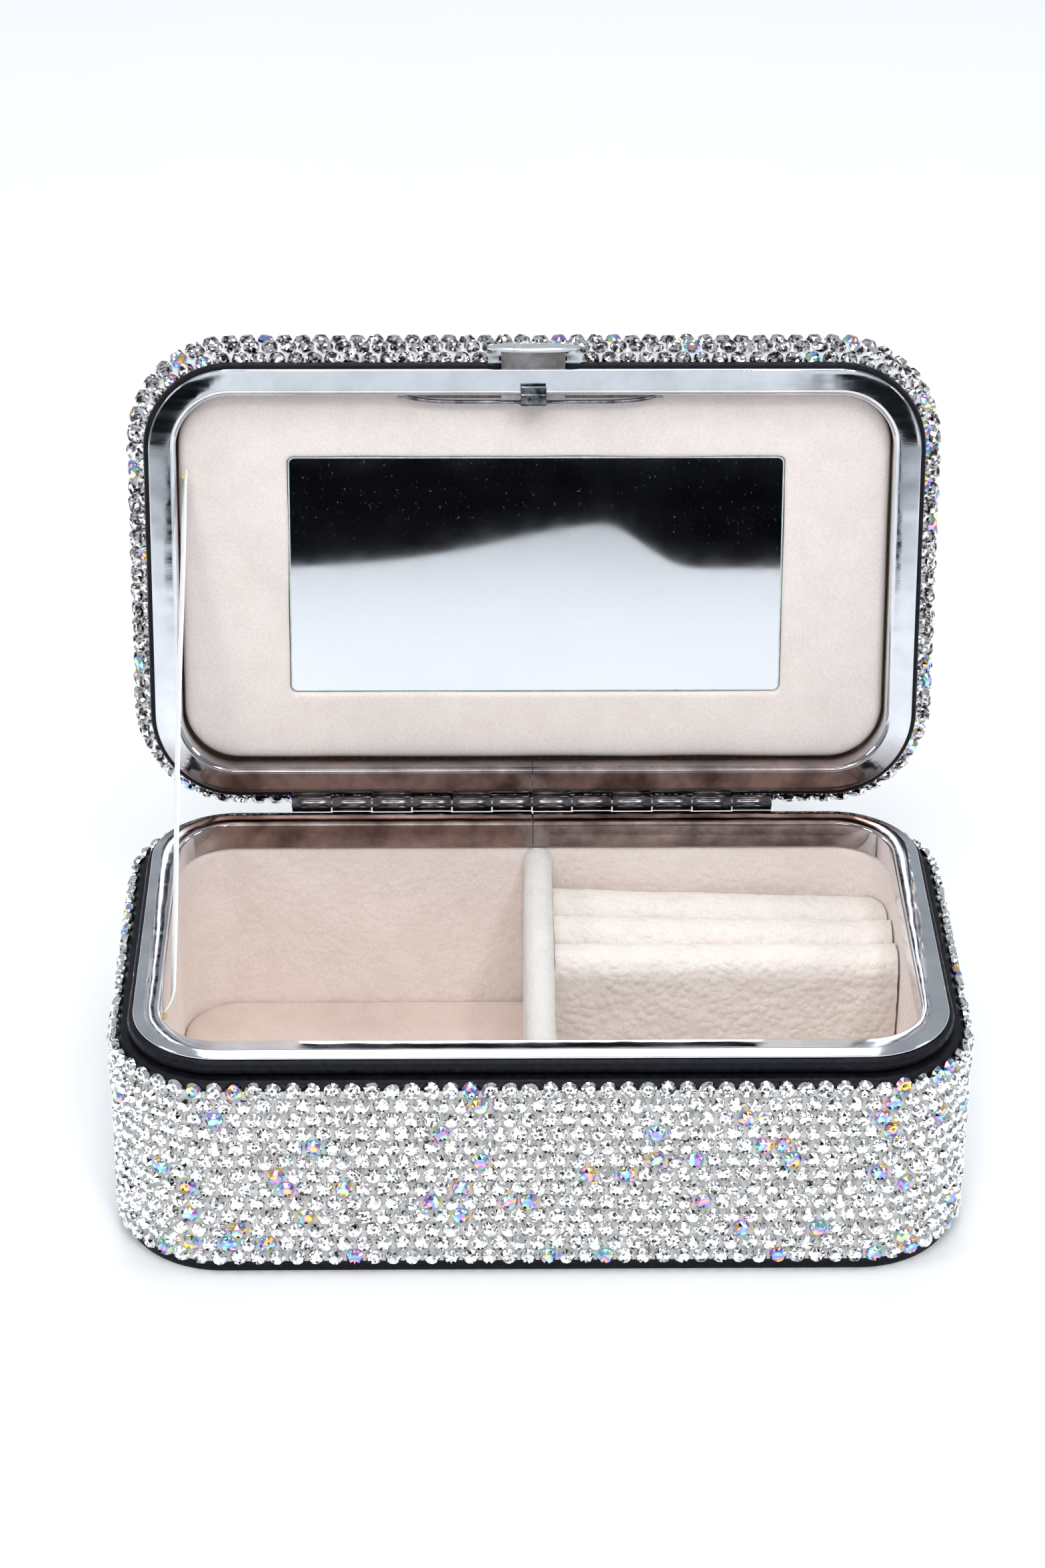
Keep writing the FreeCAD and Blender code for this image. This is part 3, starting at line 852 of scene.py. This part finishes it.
def base_frame():
    piece = ring("base_rim", frame_section(1, 0, crown=FRAME_CROWN), CHROME, seam=True)
    cut(piece, beside_latch(HOOK_ROOM), (-38.8, -35), (-4.0, -1.2))
    return fit(piece, "base", "chrome", "base_frame")


def base_cover():
    inside = COVER_OUTSIDE - COVER_SHEET
    under = SHOULDER_TOP - COVER_SHEET
    section = [
        (COVER_OUTSIDE, COVER_BOTTOM, 0.0), (COVER_OUTSIDE, SHOULDER_TOP, SHOULDER_ROUND),
        (NECK_OUTSIDE, SHOULDER_TOP, 0.0), (NECK_OUTSIDE, under, 0.0),
        (inside, under, 1.0), (inside, COVER_BOTTOM, 0.0),
    ]
    return fit(ring("base_leatherette", section, LEATHER), "base", "leatherette", "base_cover")


def base_backing():
    """The pale sheet that the base's stones come on."""
    outside = COVER_OUTSIDE + BACKING_RAISED
    inside = COVER_OUTSIDE - BACKING_SUNK
    bottom = STONES_BOTTOM + 0.5
    top = SHOULDER_TOP - SHOULDER_ROUND
    section = [
        (inside, bottom, 0.0), (outside, bottom, 0.0), (outside, top + 0.2, 0.0),
        (inside, top + 0.4, 0.0),
    ]
    return fit(ring("base_stone_backing", section, BASE_BACKING), "base", "crystal")


def base_welt():
    section = [
        (NECK_OUTSIDE, -1.0, 0.0), (0.7, -1.0, 0.75), (1.0, -2.3, 0.6), (0.9, -3.5, 0.7),
        (NECK_OUTSIDE, -3.5, 0.0),
    ]
    piece = ring("base_welt_leather", section, LEATHER)
    ripple(piece, 0.1, 9.0, 3.1)
    cut_for_hinge(piece, (-1.7, 3))
    return fit(piece, "base", "leatherette", "base_welt")


def bottom_panel():
    edge = [
        (1.0, -RIM_HEIGHT), (2.5, -RIM_HEIGHT), (2.85, -RIM_HEIGHT + 0.15),
        (3.0, -RIM_HEIGHT + 0.5), (3.0, COVER_BOTTOM - 0.25), (2.9, COVER_BOTTOM - 0.05),
        (1.0, COVER_BOTTOM),
    ]
    piece = slab("bottom_leatherette", edge, LEATHER)
    return fit(piece, "base", "leatherette", "bottom_panel")


def base_liner():
    """The velvet wall, with a soft top edge and slight waves."""
    levels = np.linspace(LINER_TOP - 1.0, FLOOR_BOTTOM, 20)
    section = [(LINER_OUTSIDE, FLOOR_BOTTOM), (LINER_OUTSIDE, LINER_TOP)]
    section += [
        (LINER_INSIDE + 1 - math.sin(a), LINER_TOP - 1 + math.cos(a))
        for a in np.linspace(0, math.pi / 2, 6)
    ]
    section += [(LINER_INSIDE, z) for z in levels[1:]]
    piece = loft("compartment_lining", [rim(u, v) for u, v in section], BASE_VELVET)
    ripple(piece, 0.28, 13.0, 1.3)
    fit(piece, "base", "velvet", "base_liner")
    return piece


def floor_pad():
    """A pillowed floor that leaves a fine dark seam at the walls."""
    edge = [
        (0.0, FLOOR_BOTTOM), (0.0, FLOOR_TOP - 0.9), (-0.12, FLOOR_TOP - 0.5),
        (-0.5, FLOOR_TOP - 0.15), (-1.2, FLOOR_TOP), (-3.0, FLOOR_TOP + 0.05),
        (-6.0, FLOOR_TOP + 0.05),
    ]
    # Velvet darker than the walls': painted shade.
    piece = slab("floor_cushion", edge, FLOOR_VELVET_PAINTED_SHADE, LINER_INSIDE - FLOOR_SEAM)
    fit(piece, "base", "velvet", "floor_pad")
    return piece


def soft_block(name, x, y, z, top_round, material, crinkle, seed):
    """A padded upright block along X or Y, with a crowned top and a crinkled skin."""
    along_x = x[1] - x[0] > y[1] - y[0]
    near, far = (y if along_x else x)
    start, end = (x if along_x else y)
    outline = rounded_section([
        (near, z[0], 0.0), (far, z[0], 0.0), (far, z[1], top_round), (near, z[1], top_round),
    ], steps=10)
    dense = []
    for here, there in zip(outline, outline[1:] + outline[:1]):
        pieces = max(1, round((there - here).length / SOFT_STEP))
        dense.extend(here.lerp(there, i / pieces) for i in range(pieces))
    steps = round((end - start) / SOFT_STEP)
    loops = []
    for i in range(steps + 1):
        at = start + (end - start) * i / steps
        loops.append([
            Vector((at, p.x, p.y)) if along_x else Vector((p.x, at, p.y)) for p in dense
        ])
    piece = loft(name, loops, material, closed=False, sharp=60)
    ripple(piece, crinkle, 2.1, seed)
    ripple(piece, crinkle * 1.5, 7.0, seed + 4)
    return piece


def divider():
    """The wall between the compartments, leaning a little to the right at the back."""
    half_y = HALF_Y + LINER_INSIDE
    piece = soft_block(
        "divider_velvet", (DIVIDER_X - DIVIDER_HALF, DIVIDER_X + DIVIDER_HALF),
        (-half_y + 0.2, half_y - 0.2), (FLOOR_TOP, LINER_TOP), 2.4, DIVIDER_VELVET, 0.08, 2.0,
    )
    for vertex in piece.data.vertices:
        vertex.co.x += DIVIDER_LEAN * vertex.co.y / half_y
    fit(piece, "base", "velvet_pale", "divider")
    return piece


def ring_rolls():
    """Three rolls, each a little lower to the right, with slots between for rings."""
    right = HALF_X + LINER_INSIDE
    for index, (name, drop) in enumerate(ROLL_DROPS.items()):
        middle = ROLL_FIRST + ROLL_PITCH * index
        piece = soft_block(
            "ring_roll_" + name + "_velvet", (ROLL_LEFT, right),
            (middle - ROLL_HALF, middle + ROLL_HALF), (FLOOR_TOP, ROLL_TOP), 4.1, ROLL_VELVET,
            0.16, 5.0 + 3 * index,
        )
        for vertex in piece.data.vertices:
            share = (vertex.co.x - ROLL_LEFT) / (right - ROLL_LEFT)
            length = reach(vertex.co.y, LINER_INSIDE) - ROLL_GAP - ROLL_LEFT
            vertex.co.x = ROLL_LEFT + share * length
            vertex.co.z -= drop * share * max(0.0, (vertex.co.z - ROLL_STILL) / ROLL_MOVING)
        fit(piece, "base", "roll_velvet", "ring_roll_" + name)


# -------- lid


def lid_frame():
    piece = ring("lid_rim", frame_section(-1, FRAME_GAP), CHROME, seam=True)
    cut(piece, beside_latch(FRAME_SLOT_ROOM), (-42, -34), (1.1, 2.2))
    return fit(piece, "lid", "chrome", "lid_frame")


def lid_welt():
    section = [
        (NECK_OUTSIDE, 1.1, 0.0), (0.8, 1.1, 0.5), (1.0, 2.0, 0.4), (0.9, 2.9, 0.4),
        (NECK_OUTSIDE, 2.9, 0.0),
    ]
    piece = ring("lid_welt_leather", section, LEATHER)
    ripple(piece, 0.08, 9.0, 5.2)
    cut_for_latch(piece, WELT_ROOM)
    cut_for_hinge(piece, (-3, 1.95))
    return fit(piece, "lid", "leatherette", "lid_welt")


def nose_loops(radius, first, last):
    """Loops round the lid's rolled edge, from one angle above the horizontal to another."""
    loops = []
    for angle in np.linspace(math.radians(first), math.radians(last), 24):
        offset = NOSE_OFFSET + radius * math.cos(angle)
        loops.append(rim(offset, NOSE_HEIGHT + radius * math.sin(angle)))
    return loops


def lid_cover():
    """The leatherette under the stones, turned over the lid's edge and across its top."""
    level = NOSE_HEIGHT + NOSE_COVER
    top = [rim(NOSE_OFFSET - NOSE_FLAP, z) for z in (level - COVER_SHEET, level)]
    outer = nose_loops(NOSE_COVER, -86, 90)
    inner = nose_loops(NOSE_COVER - COVER_SHEET, 90, -86)
    piece = loft("lid_leatherette", [*outer, top[1], top[0], *inner], LEATHER)
    cut_for_latch(piece)
    fit(piece, "lid", "leatherette", "lid_cover")
    return fit(loft("lid_top_leatherette", top, LEATHER, closed=False), "lid", "leatherette")


def lid_backing():
    """The pale sheet that the lid's stones come on."""
    outer = nose_loops(NOSE_COVER + BACKING_RAISED, -78, 90)
    inner = nose_loops(NOSE_COVER - BACKING_SUNK, 90, -78)
    piece = loft("lid_stone_backing", [*outer, *inner], LID_BACKING)
    cut_for_latch(piece)
    fit(piece, "lid", "crystal")
    level = NOSE_HEIGHT + NOSE_COVER
    top = [(NOSE_OFFSET, level - BACKING_SUNK), (NOSE_OFFSET, level + BACKING_RAISED)]
    return fit(slab("lid_top_stone_backing", top, LID_BACKING), "lid", "crystal")


def mirror_loop(grow, height, radius):
    outline = rounded_rectangle(MIRROR_HALF[0] + grow, MIRROR_HALF[1] + grow, radius)
    return [Vector((p.x + MIRROR_CENTRE[0], p.y + MIRROR_CENTRE[1], height)) for p in outline]


def lid_panel():
    """The padded velvet panel: pillowed at its edge, with a soft lip round the mirror."""
    lip = [
        (0.15, LID_BOARD), (0.15, LID_LINER + 0.6), (0.3, LID_LINER + 0.22),
        (0.7, LID_LINER + 0.04),
    ]
    loops = [mirror_loop(grow, height, 1.2 + grow) for grow, height in lip]
    hole = mirror_loop(1.2, LID_LINER, 2.4)
    edge = rim(-FRAME_WIDTH - 5.5, LID_LINER)
    for share in np.linspace(0, 1, 10):
        loops.append([a.lerp(b, share) for a, b in zip(hole, edge)])
    for u, v in ((-3.2, 0.03), (-2.0, 0.12), (-1.2, 0.28), (-0.6, 0.55), (-0.2, 1.0)):
        loops.append(rim(-FRAME_WIDTH - 0.05 + u, LID_LINER + v))
    loops.append(rim(-FRAME_WIDTH - 0.15, LID_BOARD))
    piece = loft("lid_panel_velvet", loops, LID_VELVET, sharp=60)
    ripple(piece, 0.22, 17.0, 8.0)
    fit(piece, "lid", "velvet", "lid_liner_panel")
    return piece


def lid_mirror():
    """Silvered glass with a ground edge."""
    front = LID_LINER + MIRROR_SUNK
    loops = [
        mirror_loop(-0.02, front + MIRROR_THICK, 1.2), mirror_loop(-0.02, front + 0.25, 1.2),
        mirror_loop(-0.3, front, 1.0),
    ]
    piece = loft("lid_mirror_glass", loops, GLASS_EDGE, MIRROR, closed=False, sharp=20)
    for face in piece.data.polygons:
        if len(face.vertices) > 4 and face.center.z < front + 0.1:
            face.material_index = 1
    return fit(piece, "lid", "mirror_glass", "lid_mirror")


def lid_foam():
    edge = [
        (-0.4, LID_FOAM), (-0.1, LID_FOAM + 0.4), (-0.1, LID_FOAM_TOP - 0.4),
        (-0.4, LID_FOAM_TOP - 0.05),
    ]
    piece = slab("lid_foam_layer", edge, FOAM, -FRAME_WIDTH - 0.1)
    fit(piece, "lid", "foam", "lid_foam_pad")
    return piece


# -------- hinge


def curl_section(sign, grow):
    """A leaf's edge rolled round the pin: outer turn, inner turn and the lap left open."""
    angles = np.linspace(math.radians(-90), math.radians(215), 40)
    bore = KNUCKLE_RADIUS - KNUCKLE_SHEET
    outer = [(KNUCKLE_RADIUS * math.cos(a), KNUCKLE_RADIUS * math.sin(a)) for a in angles]
    inner = [(bore * math.cos(a), bore * math.sin(a)) for a in reversed(angles)]
    return [(HINGE_Y + grow * y, HINGE_Z - grow * sign * z) for y, z in outer + inner]


def hinge_leaf(name, node, body, first, sign):
    """One leaf and its knuckles, which take every other place along the pin."""
    levels = sorted(sign * level for level in LEAF_LEVELS)
    whole = (HINGE_START, HINGE_START + HINGE_LENGTH)
    parts = [bar("leaf", whole, LEAF_REACH, levels, HINGE_PLATING, bevel=0.08)]
    pitch = HINGE_LENGTH / KNUCKLES
    ends = ((0.0, 0.97), (KNUCKLE_EDGE, 1.0))
    for index in range(first, KNUCKLES, 2):
        start = HINGE_START + index * pitch + KNUCKLE_GAP
        stop = start + pitch - 2 * KNUCKLE_GAP
        places = [(start + inset, grow) for inset, grow in ends]
        places += [(stop - inset, grow) for inset, grow in reversed(ends)]
        loops = [[Vector((x, y, z)) for y, z in curl_section(sign, grow)] for x, grow in places]
        parts.append(loft("curl", loops, HINGE_PLATING, closed=False))
        neck = (LEAF_REACH[1] - 0.4, HINGE_Y - 0.9)
        parts.append(bar("neck", (start, stop), neck, levels, HINGE_PLATING, bevel=0.06))
    joined = join(name, parts)
    return fit(joined, body, "chrome", node)


# -------- press-lock


def latch_button():
    """A shallow domed oval on a flat stem."""
    profile = [
        (1.0, -44.6), (1.03, -44.75), (1.03, -45.1), (0.985, -45.35), (0.90, -45.42),
        (0.6, -45.55), (0.25, -45.62),
    ]
    loops = []
    for grow, y in profile:
        loop = []
        for angle in turns(64):
            x = LATCH_X + BUTTON_HALF_X * grow * math.cos(angle)
            z = BUTTON_HEIGHT + BUTTON_HALF_Z * grow * math.sin(angle)
            loop.append(Vector((x, y, z)))
        loops.append(loop)
    plate = loft("latch_button_plate", loops, BUTTON_PLATING, closed=False, sharp=25)
    fit(plate, "latch", "chrome", "latch_button")
    stem_x = beside_latch(STEM_HALF)
    stem = bar("latch_stem", stem_x, (-44.7, -35.2), (1.2, 2.1), BRUSHED, bevel=0.12)
    return fit(stem, "latch", "chrome")


def latch_catch():
    """The hook with its sloping nose, two clip arms and two toothed tabs."""
    section = [
        (-36.0, 3.3, 0.1), (-35.0, 3.3, 0.3), (-35.0, -3.4, 0.9), (-37.3, -3.4, 0.6),
        (-38.5, -2.2, 0.3), (-38.5, -1.3, 0.2), (-36.0, -1.3, 0.25),
    ]
    start, end = beside_latch(HOOK_HALF)
    parts = [prism("hook", section, start, end, CATCH_PLATING, bevel=0.15)]
    for side in (-1, 1):
        arm = bar("arm", (-0.35, 0.35), (-35.2, -34.5), (0.6, 4.6), bevel=0.1)
        place = Matrix.Translation((LATCH_X + side * 1.6, 0, 0))
        arm.data.transform(place @ Matrix.Rotation(side * 0.55, 4, "Y"))
        parts.append(arm)
        for tooth in range(4):
            at = LATCH_X + side * (3.0 + 0.75 * tooth)
            width = (at - 0.28, at + 0.28)
            parts.append(bar("tooth", width, (-36.0, -35.0), (2.3, 3.2), bevel=0.1))
        width = sorted((LATCH_X + side * 2.4, LATCH_X + side * 5.7))
        parts.append(bar("tab", width, (-36.0, -35.15), (2.1, 2.55), bevel=0.1))
    return fit(join("latch_catch_hook", parts), "latch", "chrome", "latch_catch")


def spring_wire():
    """A bowed wire in two halves, fixed in place with the lid open."""
    for side, name in ((-1, "left"), (1, "right")):
        loops = []
        for i in range(31):
            share = i / 30
            x = WIRE_X + side * WIRE_SPAN * share
            y = WIRE_Y - WIRE_BOW * share**7
            loops.append([
                Vector((x, y + WIRE_RADIUS * math.cos(a), WIRE_Z + WIRE_RADIUS * math.sin(a)))
                for a in turns(12)
            ])
        piece = loft("spring_wire_" + name, loops, WIRE, closed=False)
        piece.data.transform(OPENED)
        piece.data.update()
        if side < 0:
            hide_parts("latch_spring_wire")
        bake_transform(piece)


# -------- stay ribbon


def ribbon_line():
    """The ribbon's lower end, upper end and direction, before its place in X."""
    low, high = Vector((0, *RIBBON_BASE)), Vector((0, *RIBBON_LID))
    return low, high, (high - low).normalized()


def stay_ribbon():
    """One flat woven strip, edge-on to the front, set between its ends with the lid open."""
    low, high, run = ribbon_line()
    side = Vector((0, -run.z, run.y))
    length = (high - low).length - RIBBON_SHORT
    section = [
        (-2.5, 0), (-2.45, 0.16), (0, 0.2), (2.45, 0.16),
        (2.5, 0), (2.45, -0.16), (0, -0.2), (-2.45, -0.16),
    ]
    loops = []
    for i in range(RIBBON_STEPS + 1):
        along = length * i / RIBBON_STEPS
        tuck = RIBBON_TUCK * max(0.0, 1 - along / RIBBON_TUCK_RUN) ** 2
        sway = RIBBON_SWAY * math.sin(i / RIBBON_STEPS * 9.0) - tuck
        at = low + run * along
        loops.append([
            at + side * u + Vector((RIBBON_X + w + sway + RIBBON_TURN * u, 0, 0))
            for u, w in section
        ])
    piece = loft("stay_ribbon", loops, RIBBON, closed=False, sharp=70)
    piece.data.transform(STANDING)
    piece.data.update()
    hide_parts("stay_ribbon_lower", "stay_ribbon_upper")
    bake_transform(piece)


def glue_spots():
    """The beads of glue where the ribbon meets the lid's lining and the base's wall."""
    low, high, run = ribbon_line()
    glue_spot("ribbon_glue", "lid", high - run * 3.6 + Vector((RIBBON_X, 0, 0)))
    glue_spot("ribbon_base_glue", "base", low + Vector((RIBBON_X - 1.5, 0, 0)))


def glue_spot(name, body, centre):
    """A three-lobed bead."""
    loops = []
    for i in range(1, 12):
        angle = math.pi * i / 12
        radius = 0.75 * math.sin(angle)
        loop = []
        for turn in turns(16):
            x = 0.9 * radius * (1 + 0.15 * math.sin(3 * turn)) * math.cos(turn)
            loop.append(centre + Vector((x, radius * math.sin(turn), 0.6 * math.cos(angle))))
        loops.append(loop)
    piece = loft(name, loops, GLUE, closed=False, sharp=80)
    piece.data.transform(STANDING)
    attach(piece, body)


# -------- carried-over nodes


def dress_cad_nodes():
    """The hidden layers keep their CAD shape and take a fitting material."""
    dressed = {
        "base_shell": BOARD, "floor_board": BOARD, "lid_shell": BOARD, "lid_backing_board": BOARD,
        "hinge_pin": WIRE, "latch_retainer": BRUSHED,
    }
    for name, material in dressed.items():
        mesh = frame["nodes"][name].data
        mesh.materials.clear()
        mesh.materials.append(material)


# -------- stage


def flat_card(name, points, material, reflections_only=False, faces=((0, 1, 2, 3),)):
    """A flat piece of the stage. The camera and the shadows can be made to pass it over."""
    mesh = bpy.data.meshes.new(name)
    mesh.from_pydata(points, [], faces)
    mesh.materials.append(material)
    card = show(name, mesh)
    if reflections_only:
        card.visible_camera = False
        card.visible_shadow = False
        card.visible_diffuse = False


def level_card(name, x, y, z, material, reflections_only=False):
    corners = [(x[0], y[0], z), (x[1], y[0], z), (x[1], y[1], z), (x[0], y[1], z)]
    flat_card(name, corners, material, reflections_only)


def upright_card(name, x, y, z, material):
    corners = [(x[0], y, z[0]), (x[1], y, z[0]), (x[1], y, z[1]), (x[0], y, z[1])]
    flat_card(name, corners, material, reflections_only=True)


def stage():
    """Pale paper, and dark and bright cards that only reflections show."""
    paper = Look("floor_paper", Roughness=0.85, Specular_IOR_Level=0.1)
    paper.mottle(60, (0.885, 0.895, 0.91), (0.895, 0.905, 0.92))
    level_card("floor", (-4, 4), (-4, 4), 0, paper.material)

    dark = Look("dark_card", Roughness=1.0, Specular_IOR_Level=0.0)
    dark.mottle(300, (0.002, 0.002, 0.003), (0.006, 0.006, 0.008))
    dark_floor(dark.material)
    for side in (-1, 1):
        x = sorted((side * 0.26, side * 0.85))
        upright_card("dark_flag", x, -1.9, (0.06, 0.6), dark.material)
    level_card("dark_ceiling", (-0.3, 0.3), (-0.85, -0.45), 1.15, dark.material, True)

    wall = Look("bright_wall")
    wall.shader.inputs["Emission Color"].default_value = (0.90, 0.96, 1.0, 1)
    wall.shader.inputs["Emission Strength"].default_value = 0.95
    wall.mottle(300, (0.0, 0.0, 0.0), (0.01, 0.01, 0.01))
    upright_card("bright_wall", (-1.3, 1.3), -2.6, (0.03, 1.1), wall.material)
    studio_world()
    softboxes()


def softboxes():
    aim = Vector((0, 0, 0.05))
    for name, place, size, power in (
        ("key_softbox", (0.0, -0.75, 1.25), 0.9, 8.5),
        ("back_softbox", (0.0, 0.6, 1.5), 0.6, 8.0),
        ("left_softbox", (-1.1, -0.3, 0.9), 0.4, 4.0),
        ("right_softbox", (1.1, -0.1, 0.8), 0.3, 3.0),
        ("front_softbox", (-0.3, -1.3, 1.3), 0.6, 2.5),
        ("front_spot", (0.4, -1.1, 1.3), 0.14, 3.0),
    ):
        data = bpy.data.lights.new(name, "AREA")
        data.size = size
        data.energy = power
        light = show(name, data)
        light.location = place
        light.rotation_euler = (aim - Vector(place)).to_track_quat("-Z", "Y").to_euler()


def dark_floor(material):
    """A dark card beyond a wavy edge in front of the box, as the unlit end of the room."""
    steps, half_width = 170, 0.34
    edge, far_edge, wave = -1.20, -3.0, 0.48
    rise_x, rise_run = 0.015, 0.035
    fall_x, fall_run = 0.093, 0.004
    near_points, far_points = [], []
    for i in range(steps + 1):
        x = half_width * (2 * i / steps - 1)
        fallen = 1 + math.exp((x - fall_x) / fall_run)
        unrisen = 1 + math.exp(-(x - rise_x) / rise_run)
        near_points.append((x, edge - wave / fallen / unrisen, 0.001))
        far_points.append((x, far_edge, 0.001))
    faces = [(i, i + 1, steps + 2 + i, steps + 1 + i) for i in range(steps)]
    flat_card("dark_floor", near_points + far_points, material, True, faces)


def studio_world():
    """Even light from all round, slightly dimmer and bluer from the front."""
    world = bpy.data.worlds.new("studio")
    bpy.context.scene.world = world
    world.use_nodes = True
    nodes, links = world.node_tree.nodes, world.node_tree.links
    coords = nodes.new("ShaderNodeTexCoord")
    split = nodes.new("ShaderNodeSeparateXYZ")
    ramp = nodes.new("ShaderNodeValToRGB")
    back = nodes.new("ShaderNodeMath")
    back.operation = "MULTIPLY_ADD"
    back.inputs[1].default_value = 0.5
    back.inputs[2].default_value = 0.5
    links.new(coords.outputs["Generated"], split.inputs["Vector"])
    links.new(split.outputs["Y"], back.inputs[0])
    links.new(back.outputs["Value"], ramp.inputs["Fac"])
    front, behind = ramp.color_ramp.elements
    front.position = 0.08
    front.color = (0.78, 0.84, 0.92, 1)
    behind.position = 0.45
    behind.color = (0.88, 0.94, 1.0, 1)
    background = nodes["Background"]
    links.new(ramp.outputs["Color"], background.inputs["Color"])
    background.inputs["Strength"].default_value = 0.46


def camera():
    """A long lens in front of the box and well above it, turned by yaw, pitch and roll."""
    yaw, pitch, roll = (math.radians(a) for a in (1.208, 30.469, 0.453))
    data = bpy.data.cameras.new("camera")
    data.lens = 88.0
    data.sensor_width = 36.0
    made = show("camera", data)
    turn = (
        Matrix.Rotation(-yaw, 4, "Z")
        @ Matrix.Rotation(math.pi / 2 - pitch, 4, "X")
        @ Matrix.Rotation(roll, 4, "Z")
    )
    made.matrix_world = Matrix.Translation((-0.01554, -0.58796, 0.42027)) @ turn
    bpy.context.scene.camera = made
    bpy.context.scene.view_settings.view_transform = "Standard"


camera()
stage()
base_frame()
base_cover()
base_backing()
base_welt()
bottom_panel()
base_liner()
floor_pad()
divider()
ring_rolls()
base_stones()
lid_frame()
lid_welt()
lid_cover()
lid_backing()
lid_panel()
lid_mirror()
lid_foam()
lid_edge_stones()
lid_top_stones()
hinge_leaf("hinge_leaf_base_curls", "hinge_leaf_base", "base", 1, -1)
hinge_leaf("hinge_leaf_lid_curls", "hinge_leaf_lid", "lid", 0, 1)
latch_button()
latch_catch()
spring_wire()
stay_ribbon()
glue_spots()
dress_cad_nodes()
